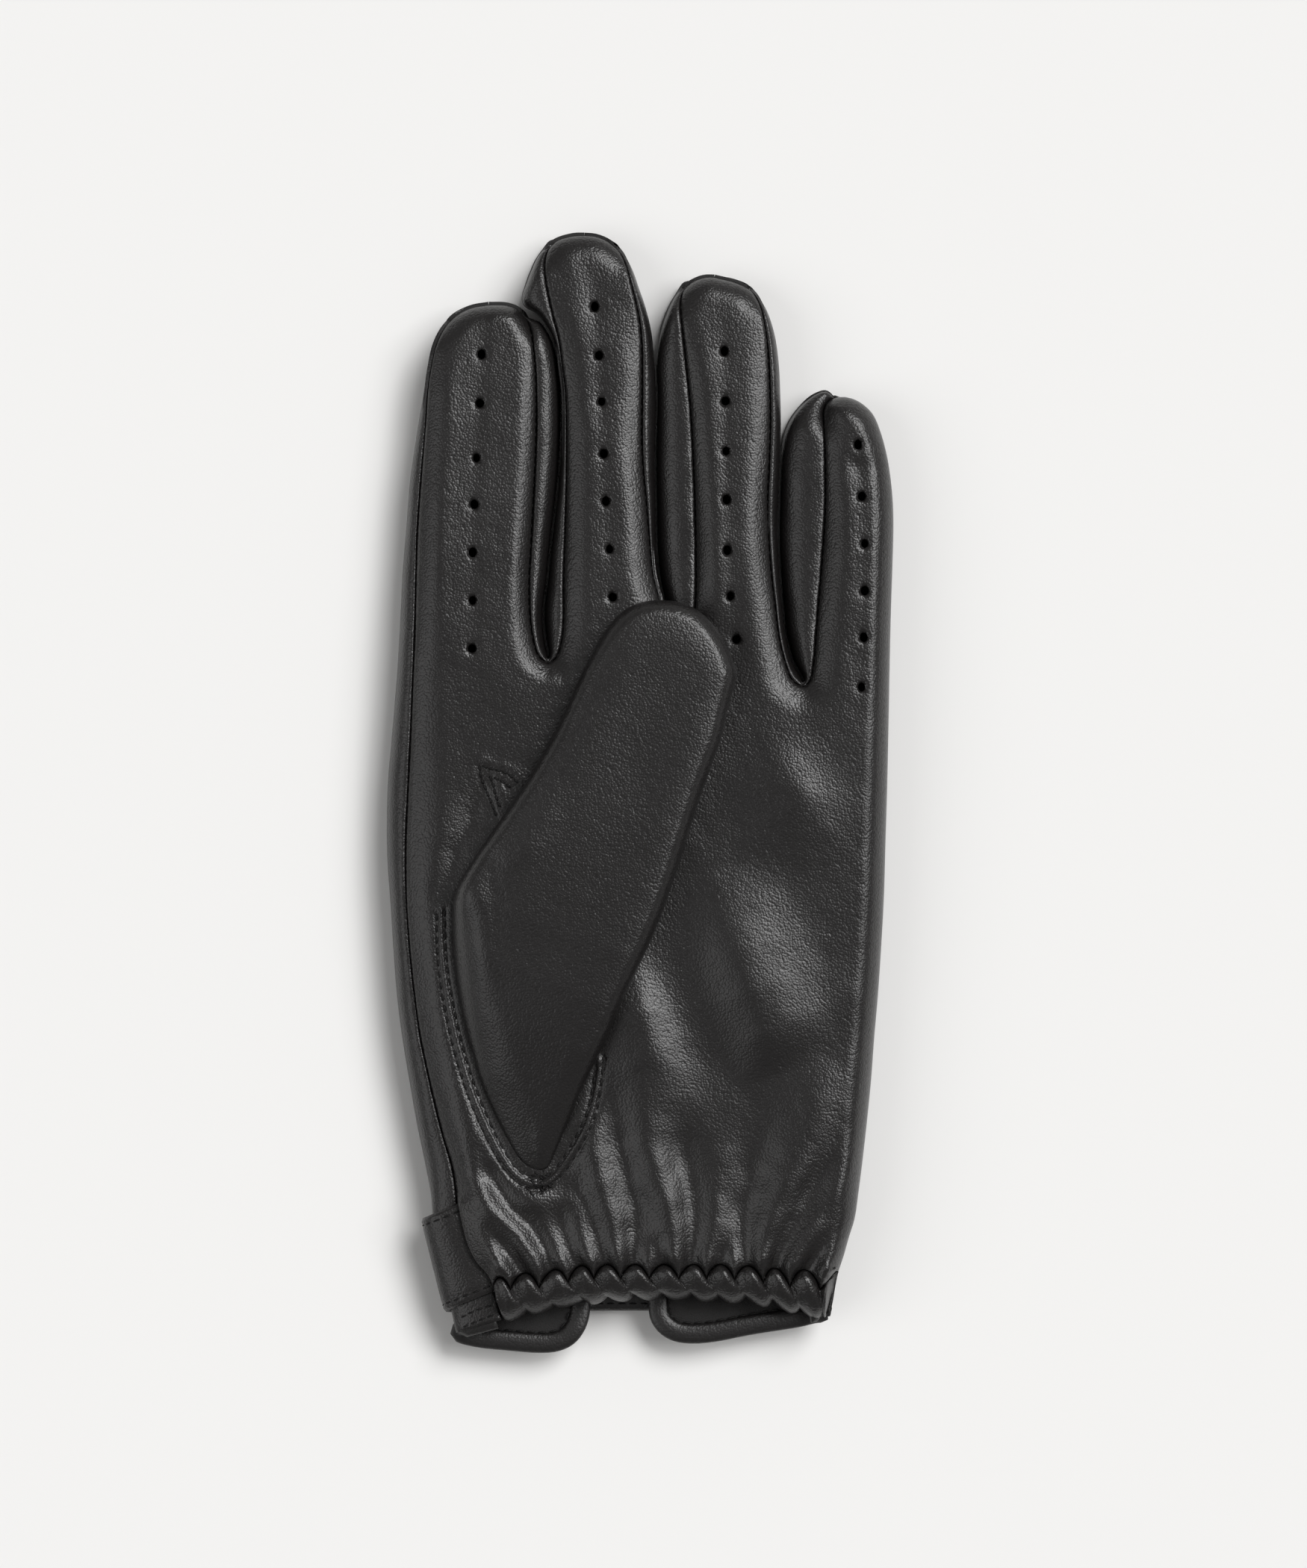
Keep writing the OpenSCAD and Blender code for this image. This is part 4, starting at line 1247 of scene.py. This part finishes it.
def make_hem():
    """The gathered hem below the elastic, a puff to each scallop, and its thread."""
    top, t = elastic_seam(HEM_COUNT)
    bottom = scallops(EDGE_HIGH, EDGE_LOW, t, 0.7)
    phase = t - t.astype(int)
    puff = np.sin(math.pi * np.clip(phase, 0, 1)) ** 0.95
    puff *= 1 + 0.14 * np.sin(t.astype(int) * 2.4)
    end = step01(t / 1.1) * step01((t[-1] - t) / 1.1)
    rows = []
    for down, z, gain in HEM_SHAPE:
        xy = top * (1 - down) + bottom * down
        height = z + gain * PUFF_HEIGHT * (puff - 0.45) * end
        rows.append(with_columns(xy, height - wrist_end(top[:, 0]) * min(1, (z - 7.5) / 4)))
    pts = np.stack(rows, axis=1)
    flat = pts.reshape(-1, 3)
    gather = flat * np.array([2.6, 0.5, 0.5])
    fine = (wobble(flat, 3, 0.14, 7.0) + wobble(gather, 2.4, 0.16, 1.0)).reshape(pts.shape[:2])
    fade = np.ones(pts.shape[:2])
    fade[:, :2] = 0
    pts[:, :, 2] += fine * fade
    faces = np.array(grid_faces(*pts.shape[:2]))
    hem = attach(shell_piece("scalloped_hem", pts.reshape(-1, 3), faces), "hand")
    seam = with_columns(top, SEAM_THREAD_Z)[8:-8]
    sew("elastic_seam_stitches", [seam], length=1.2, pitch=1.8, radius=0.12)
    return hem


# How thick the tape is
TAPE = 0.6


def make_elastic():
    """Woven elastic tape inside the wrist: fine ribs along it."""
    xs = np.arange(-30, 34.01, 0.5)
    ys = np.linspace(-87.4, -93, 15)
    pts = np.zeros((len(xs), len(ys), 3))
    for j, y in enumerate(ys):
        pts[:, j, 0] = xs
        pts[:, j, 1] = y
        pts[:, j, 2] = 8.7 + 0.14 * math.cos(j * math.pi) + 0.25 * np.sin(xs * 1.15)
    faces = np.array(grid_faces(len(xs), len(ys)))
    tape = shell_piece("elastic_tape", pts.reshape(-1, 3), faces, TAPE, THREAD)
    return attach(tape, "hand")


# ---------------------------------------------------------------- thumb

# The thumb's outline as (x, y, edge height, rounding, how much it is a turned edge)
THUMB = [
    (-17.6, -70.4, 13.3, 5, 0.3), (-20, -70.4, 13.2, 6, 0.3), (-22.4, -68.6, 13.2, 7, 0.3),
    (-25.3, -63.8, 13.2, 7.5, 0.3), (-27.7, -59, 13.2, 8, 0.3), (-29.9, -53.8, 13.2, 8, 0.3),
    (-31.3, -49, 13.2, 8, 0.3), (-32.7, -44, 13.2, 8, 0.3), (-33.9, -38, 13.2, 8, 0.3),
    (-34.8, -31, 13.3, 8, 0.35), (-35.1, -25, 13.6, 8, 0.5), (-34.9, -20.5, 14.6, 7.5, 0.8),
    (-34, -17.3, 15.6, 7.5, 1), (-32.3, -14.3, 16.4, 7.5, 1), (-29.3, -9.8, 17, 7.5, 1),
    (-26, -5, 17.2, 7.5, 1), (-22.6, 0, 17.3, 7.5, 1), (-20, 4, 17.3, 7.5, 1), (-17.9, 7.7, 17.3, 7.5, 1),
    (-15.5, 12, 17.3, 7.5, 1), (-13.4, 16.5, 17.3, 7.5, 1), (-10.6, 22.6, 17.3, 7.5, 1),
    (-7.7, 28, 17.3, 7.5, 1), (-5.2, 31.8, 17.3, 7.5, 1), (-2.5, 34.3, 17.2, 8, 1), (0.6, 35.6, 17.1, 8, 1),
    (4.2, 35.9, 17.1, 8, 1), (7.8, 35.4, 17.1, 8, 1), (11.2, 33.7, 17.1, 8, 1), (14, 30.9, 17.1, 7.5, 1),
    (16.2, 27.5, 17.2, 7, 1), (17.4, 24.4, 17.2, 6.5, 1), (18, 22.3, 17.2, 6.5, 1),
    (17.7, 20.4, 17.2, 6.5, 1), (16.4, 15.6, 17.3, 6.5, 1), (15.1, 10, 17.3, 6.5, 1), (13.3, 5, 17.3, 6.5, 1),
    (11.5, 0, 17.3, 6.5, 1),
    (9.9, -5, 17.3, 6.5, 1), (8.3, -10, 17.3, 6.5, 1), (6.7, -15, 17.3, 6.5, 1), (5, -20, 17.3, 6.5, 1),
    (3.1, -25, 17.2, 6.5, 1), (0.9, -30, 17.1, 6.5, 1), (-1.5, -35, 17, 6.5, 1), (-3.8, -40, 16.8, 6.5, 1),
    (-6.1, -45.5, 16.5, 6.5, 1), (-8.8, -51, 16, 6, 1), (-11, -55.6, 15.5, 5.5, 0.9),
    (-13.3, -61, 14.9, 5, 0.8), (-15.4, -66, 14.2, 4.5, 0.6)]
# Where the thumb bends, and which way it points
THUMB_BEND = (-17.5, -26.4)
THUMB_DIR = (0.3649, 0.9311)


def along_thumb(xy):
    """How far along the thumb each place is, from its bend."""
    return (xy[:, 0] - THUMB_BEND[0]) * THUMB_DIR[0] + (xy[:, 1] - THUMB_BEND[1]) * THUMB_DIR[1]


def thumb_crown(xy):
    """Height of the thumb's outer face away from its edges."""
    t = along_thumb(xy)
    z = np.interp(t, [-43, -36, -28, -18, -8, 2, 15, 32, 46, 57, 67],
                  [14.0, 16.0, 18.1, 20.1, 21.4, 22.0, 22.2, 22.2, 22.1, 21.9, 21.7])
    for fold in THUMB_FOLDS:
        z = z + ridge(xy, fold)
    for place in THUMB_BULGES:
        z = z + bulge(xy, *place)
    return z


THUMB_FOLDS = [
    [(-28.5, -8.5, -0.1, 1.8), (-27.4, -14, -0.35, 2), (-26.9, -24, -0.3, 2.4), (-27, -38, -0.2, 2.6),
     (-26.6, -50, 0, 2.6)],
    [(-24.2, -14, 0.0, 2.2), (-21, -10, 0.3, 2.6), (-17.5, -4, 0.25, 3), (-14, 2, 0, 3)],
    [(-19, 3, 0, 3), (-13, 12, -0.25, 3.4), (-8, 21, -0.2, 3.4), (-5, 27, 0, 3.4)],
]
THUMB_BULGES = [(-30.5, -30, 4, 14, 0.35), (-12, -42, 8, 12, 0.3, 20), (0, 5, 7, 14, -0.3, -20)]


def thumb_bend(piece):
    """Bakes a piece's placement into its mesh."""
    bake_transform(piece)
    return piece


# Height and width of the leather's turn beside the thumb's seam
THUMB_LIP = 0.8


def make_thumb_top(loop):
    """The outer face: sewn down round its base and turned under round its tip."""
    verts, faces = flat_mesh(loop, step=0.7, rings=(0.1, 0.32, 0.7, 1.2))
    d, cols = edge_distance(verts, loop)
    base, reach, turned = cols[:, 2], cols[:, 3], cols[:, 4]
    rise = thumb_crown(verts) - base
    soft = 1 - (1 - np.clip(d / reach, 0, 1)) ** 2
    seam = np.minimum(THUMB_LIP, rise) * quarter(d / THUMB_LIP) + np.maximum(rise - THUMB_LIP, 0) * soft
    round_edge = rise * (0.3 * quarter(d / reach) + 0.7 * quarter(d / 2.6))
    xyz = np.column_stack([verts, base + seam * (1 - turned) + round_edge * turned])
    xyz[:, 2] += step01(d / 3) * (wobble(xyz, 14, 0.14, 9.0) + wobble(xyz, 3.2, 0.03, 4.0))
    return thumb_bend(shell_piece("thumb_leather", xyz, faces))


def make_thumb_underside(loop):
    """The face towards the palm, beyond the thumb's base."""
    verts, faces = flat_mesh(loop, step=1.3, rings=(0.15, 0.5, 1.2))
    d, cols = edge_distance(verts, loop)
    t = along_thumb(verts)
    floor = 14.35 - 1.3 * step01((4 - t) / 10)
    z = cols[:, 2] - (cols[:, 2] - floor) * quarter(d / 4.5)
    beyond = t[faces].mean(axis=1) > -9
    xyz = np.column_stack([verts, z])
    made = shell_pieces(xyz, faces[:, ::-1], {"thumb_underside": beyond})
    return thumb_bend(made["thumb_underside"])


# Short rows that lock the foot of the thumb's opening
TACK_BARS = [
    [(-19.8, -70.6), (-16.2, -74)], [(-20.6, -72.2), (-17.2, -75)], [(-16.2, -70.4), (-19.8, -74.2)],
    [(-15.2, -71.6), (-18.8, -75.2)], [(-18, -69.8), (-18, -75.2)], [(-20.4, -71.4), (-15.6, -71.4)],
    [(-20, -73.2), (-16, -73.2)], [(-21.4, -73.4), (-19.4, -75.8)]]


def on_palm(points, rise=0.0):
    """A line laid on the palm's leather."""
    line = smooth_line(points, FINE_STEP)
    return with_columns(line, palm_z(line) + rise)


def make_thumb_stitches():
    """The double row round the thumb's opening, and the tacks that lock it."""
    rows = [on_palm(row) for row in THUMB_ROWS]
    sew("thumb_seam_stitches", rows, length=1.5, pitch=2.15, radius=0.23)
    bars = [on_palm(bar, 0.05) for bar in TACK_BARS + STAR_BARS]
    return sew("thumb_tack_stitches", bars, length=1.15, pitch=1.3, radius=0.2)


# ---------------------------------------------------------------- strap

# The strap's middle surface from its sewn end to its tip: its two edges, as (x, y, z)
STRAP_TOP = [
    (-30.5, -75.6, 10.2), (-33.4, -76.6, 10.5), (-35, -77.3, 10.6), (-37.4, -78.3, 10.5),
    (-39.6, -79.3, 9.5), (-40.5, -79.8, 7.9), (-40, -79.9, 6.2), (-38, -79.7, 4.8), (-34.5, -79.3, 3.95),
    (-30, -79.1, 3.78), (-24, -79, 3.75), (-18, -79, 3.65), (-13, -79, 3.1), (-8, -79, 2.35),
    (-2, -79, 2.2), (6, -79, 2.2), (14, -79, 2.2), (23.4, -79, 2.2)]
STRAP_LOW = [
    (-23.9, -92.2, 10.2), (-26.9, -93.3, 10.5), (-28.7, -94, 10.6), (-31.6, -95.2, 10.4),
    (-34.6, -96.5, 9.4), (-36.1, -97.3, 7.8), (-35.7, -97.7, 6.1), (-34, -97.8, 4.8), (-31, -97.8, 3.95),
    (-27.6, -97.8, 3.78), (-23, -97.8, 3.75), (-18, -97.8, 3.65), (-13, -97.8, 3.1), (-8, -97.8, 2.35),
    (-2, -97.8, 2.2), (6, -97.8, 2.2), (14, -97.8, 2.2), (23.4, -97.8, 2.2)]
STRAP_TIP_X = 14.0
STRAP_HALF = 9.4
STRAP_MID_Y = -88.4
# Rows of points along the strap, and columns across it
STRAP_ROWS, STRAP_COLS = 130, 27
# From the strap's middle surface to each face
STRAP_THICK = 0.78


def strap_edges(rows):
    """The strap's two edges, rounded off at its tip."""
    both = smooth_line([a + b for a, b in zip(STRAP_TOP, STRAP_LOW)], 0.6)
    both = even(both, 0, count=rows)
    top, low = both[:, :3].copy(), both[:, 3:].copy()
    for line, sign in ((top, 1), (low, -1)):
        past = np.clip((line[:, 0] - STRAP_TIP_X) / STRAP_HALF, 0, 0.9995)
        end = (line[:, 0] > STRAP_TIP_X) & (line[:, 2] < 3)
        line[end, 1] = STRAP_MID_Y + sign * STRAP_HALF * np.sqrt(1 - past[end] ** 2)
    return top, low


def strap_surface(rows, cols):
    """Points of the strap's middle surface, and its normals there."""
    top, low = strap_edges(rows)
    t = np.linspace(0, 1, cols)[None, :, None]
    mid = top[:, None, :] * (1 - t) + low[:, None, :] * t
    across = (low - top)[:, None, :] * np.ones_like(mid)
    n = np.cross(np.gradient(mid, axis=0), across)
    n /= np.maximum(np.linalg.norm(n, axis=2), 1e-9)[:, :, None]
    return mid, n


def make_strap():
    """The strap, cut where it comes free of the hand; also its middle, normals and cut."""
    mid, n = strap_surface(STRAP_ROWS, STRAP_COLS)
    u = np.linspace(0, 1, STRAP_COLS)
    width = np.linalg.norm(mid[:, -1] - mid[:, 0], axis=1)[:, None]
    edge = np.minimum(u, 1 - u)[None, :] * width
    groove = 0.16 * np.exp(-(((edge - 1.3) / 0.45) ** 2))
    thick = (STRAP_THICK * (0.45 + 0.55 * quarter(edge / 0.9)) - groove)[:, :, None]
    ring = np.concatenate([mid + n * thick, (mid - n * thick)[:, ::-1]], axis=1)
    r, c = ring.shape[:2]
    cut = next(i for i in range(r) if mid[i, 0, 0] > -19 and mid[i, 0, 2] < 4)
    faces = grid_faces(cut + 1, c, wrap=True)
    faces.append(tuple(range(c))[::-1])
    root = mesh_piece("strap_root_leather", ring[: cut + 1].reshape(-1, 3), faces, OUTER)
    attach(root, "hand")
    part = ring[cut:]
    faces = grid_faces(len(part), c, wrap=True)
    faces.append(tuple((len(part) - 1) * c + i for i in range(c)))
    strap = mesh_piece("strap_leather", part.reshape(-1, 3), faces, OUTER)
    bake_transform(strap)
    return root, strap, (mid, n, cut)


def make_strap_stitches(shape):
    """A row along each edge of the strap, on both its faces."""
    mid, n, cut = shape
    cols = mid.shape[1]
    k = 1.35 / np.linalg.norm(mid[:, -1] - mid[:, 0], axis=1).clip(2)
    r = np.arange(len(mid))
    root, free = [], []
    for side in (1, -1):
        for share in (k, 1 - k):
            at = share * (cols - 1)
            i = np.clip(at.astype(int), 0, cols - 2)
            f = (at - i)[:, None]
            line = mid[r, i] * (1 - f) + mid[r, i + 1] * f + n[r, i] * side * 0.68
            root.append(line[3: cut + 1])
            free.append(line[cut: -10])
    sew("strap_root_stitches", root, length=1.5, pitch=2.1)
    tip = stitches("strap_stitches", free, length=1.5, pitch=2.1)
    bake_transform(tip)


def make_cuff_stitches():
    """A row beside the binding on each face of the cuff."""
    cuff = cuff_line()
    n = side_normals(cuff)
    rows = []
    for inset, z in ((3.5, 1.35), (3.3, -0.02)):
        line = cuff - n * inset
        rows.append(with_columns(line, BACK_Z + lift(line[:, 1]) + z)[8:-8])
    sew("cuff_stitches", rows, length=1.4, pitch=2.1)


# Rows of stitching across the foot of the index side, below the strap
SIDE_ROWS = [
    [(-33.6, -98.4), (-30.4, -96.8), (-27.4, -95.9)], [(-33.2, -100.2), (-29.8, -98.7), (-26.4, -97.4)]]


def make_side_stitches():
    """Those rows, laid on the index side's leather."""
    face = strip_points(*side_lines("index_left"), 400, 0.0)[:, :EDGE_COLUMN].reshape(-1, 3)
    rows = []
    for points in SIDE_ROWS:
        line = smooth_line(points, FINE_STEP)
        z = [face[np.argmin(((face[:, :2] - p) ** 2).sum(axis=1)), 2] for p in line]
        rows.append(with_columns(line, z))
    sew("index_side_foot_stitches", rows, length=1.2, pitch=1.8)


SEAM_THREAD = {"length": 1.0, "pitch": 1.9, "radius": 0.13, "dip": 0.1}


def make_seam_stitches():
    """Tiny threads in the groove of each seam of the palm faces."""
    for key in SEAM:
        finger, side = key.split("_")
        p = seam_columns(key, FINE_STEP)
        inward = side_normals(p) * (-1 if side == "left" else 1)
        line = np.column_stack([p[:, :2] + inward * 0.12, p[:, 2] + 0.12])
        if key == "index_left":
            base = line[:, 1] < CUT_Y[finger]
            sew("index_side_seam_hand", [line[base]], **SEAM_THREAD)
            line = line[~base]
        bend_at(stitches(key + "_seam_stitches", [line], **SEAM_THREAD))


# ---------------------------------------------------------------- everything together

palm = make_palm()
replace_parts(palm["hand"], "palm_panel", "little_side_panel")
for each in ("index", "middle", "ring"):
    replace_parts(palm[each], each + "_palm_face")
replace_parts(palm["little"], "little_palm_face", "little_side_wall")
side, side_hand = make_side("index_left", "index_side_wall_leather")
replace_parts(side, "index_side_wall")
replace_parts(side_hand, "index_side_panel")
STRIPS = {
    "index_right": ("index_fourchette_leather", ("index_fourchette", "web_index_middle")),
    "middle_left": ("middle_left_fourchette_leather", ("middle_fourchette_left",)),
    "middle_right": ("middle_right_fourchette_leather", ("middle_fourchette_right", "web_middle_ring")),
    "ring_left": ("ring_left_fourchette_leather", ("ring_fourchette_left",)),
    "ring_right": ("ring_right_fourchette_leather", ("ring_fourchette_right", "web_ring_little")),
    "little_left": ("little_fourchette_leather", ("little_fourchette",)),
}
for key, (name, nodes) in STRIPS.items():
    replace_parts(make_side(key, name), *nodes)
back = make_back()
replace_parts(back["hand"], "back_panel")
for each in FINGERS:
    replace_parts(back[each], each + "_back_face")
binding, rims = make_bindings()
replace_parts(binding, "keyhole_binding")
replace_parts(rims[0], "knuckle_bindings")
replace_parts(make_hem(), "palm_hem")
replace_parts(make_elastic(), "wrist_elastic")
thumb_loop = smooth_line(THUMB, LINE_STEP, closed=True)
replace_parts(make_thumb_top(thumb_loop), "thumb_outer_face", "thumb_root")
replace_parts(make_thumb_underside(thumb_loop), "thumb_inner_face", "thumb_edge")
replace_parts(make_thumb_stitches(), "thumb_bar_tacks")
strap_root, strap, strap_shape = make_strap()
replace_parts(strap_root, "strap_root")
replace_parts(strap, "strap")
make_strap_stitches(strap_shape)
make_cuff_stitches()
make_side_stitches()
make_seam_stitches()
for node in ("snap_cap", "snap_socket", "snap_stud", "snap_post"):
    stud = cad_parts[node]
    stud.data.materials.clear()
    stud.data.materials.append(METAL)


# ---------------------------------------------------------------- floor, light and camera

# In metres, except the lens and its sensor in millimetres
FLOOR_Z = -0.0003
PHOTO_MIDDLE = (0.00252, 0.00168)
HALF_FRAME = 0.147
FOCUS_Z = 0.01
LENS = 120
SENSOR = 36


def make_floor():
    """A wide pale floor just under the glove."""
    bpy.ops.mesh.primitive_plane_add(size=6, location=(0, 0, FLOOR_Z))
    floor = bpy.context.object
    floor.name = "floor"
    floor.data.materials.append(new_material("floor", (0.83, 0.825, 0.815), 0.9, 0.1)[0])


def sun_light(name, azimuth, tilt, power, spread):
    """A soft light from far off: its direction in plan and its tilt from overhead, in degrees."""
    data = bpy.data.lights.new(name, "SUN")
    data.energy = power
    data.angle = math.radians(spread)
    lamp = bpy.data.objects.new(name, data)
    a, t = math.radians(azimuth), math.radians(tilt)
    toward = Vector((math.cos(a) * math.sin(t), math.sin(a) * math.sin(t), math.cos(t)))
    lamp.rotation_euler = (-toward).to_track_quat("-Z", "Y").to_euler()
    bpy.context.scene.collection.objects.link(lamp)


def make_lights():
    """A dim even studio, a key light from the upper right, and two weaker ones."""
    world = bpy.data.worlds.new("studio")
    world.use_nodes = True
    ground = world.node_tree.nodes["Background"]
    ground.inputs["Color"].default_value = (1, 0.995, 0.985, 1)
    ground.inputs["Strength"].default_value = 0.22
    bpy.context.scene.world = world
    sun_light("key", 50, 40, 2.1, 28)
    sun_light("right", 14, 41, 0.95, 28)
    sun_light("side", 190, 48, 0.6, 44)


def make_camera():
    """Straight above the photograph's middle, so far off that its frame is just filled."""
    data = bpy.data.cameras.new("camera")
    data.lens = LENS
    data.sensor_width = SENSOR
    camera = bpy.data.objects.new("camera", data)
    camera.location = (*PHOTO_MIDDLE, HALF_FRAME / (SENSOR / 2 / LENS) + FOCUS_Z)
    camera.rotation_euler = (0, 0, 0)
    bpy.context.scene.collection.objects.link(camera)
    bpy.context.scene.camera = camera


make_floor()
make_lights()
make_camera()
bpy.context.scene.view_settings.view_transform = "Standard"
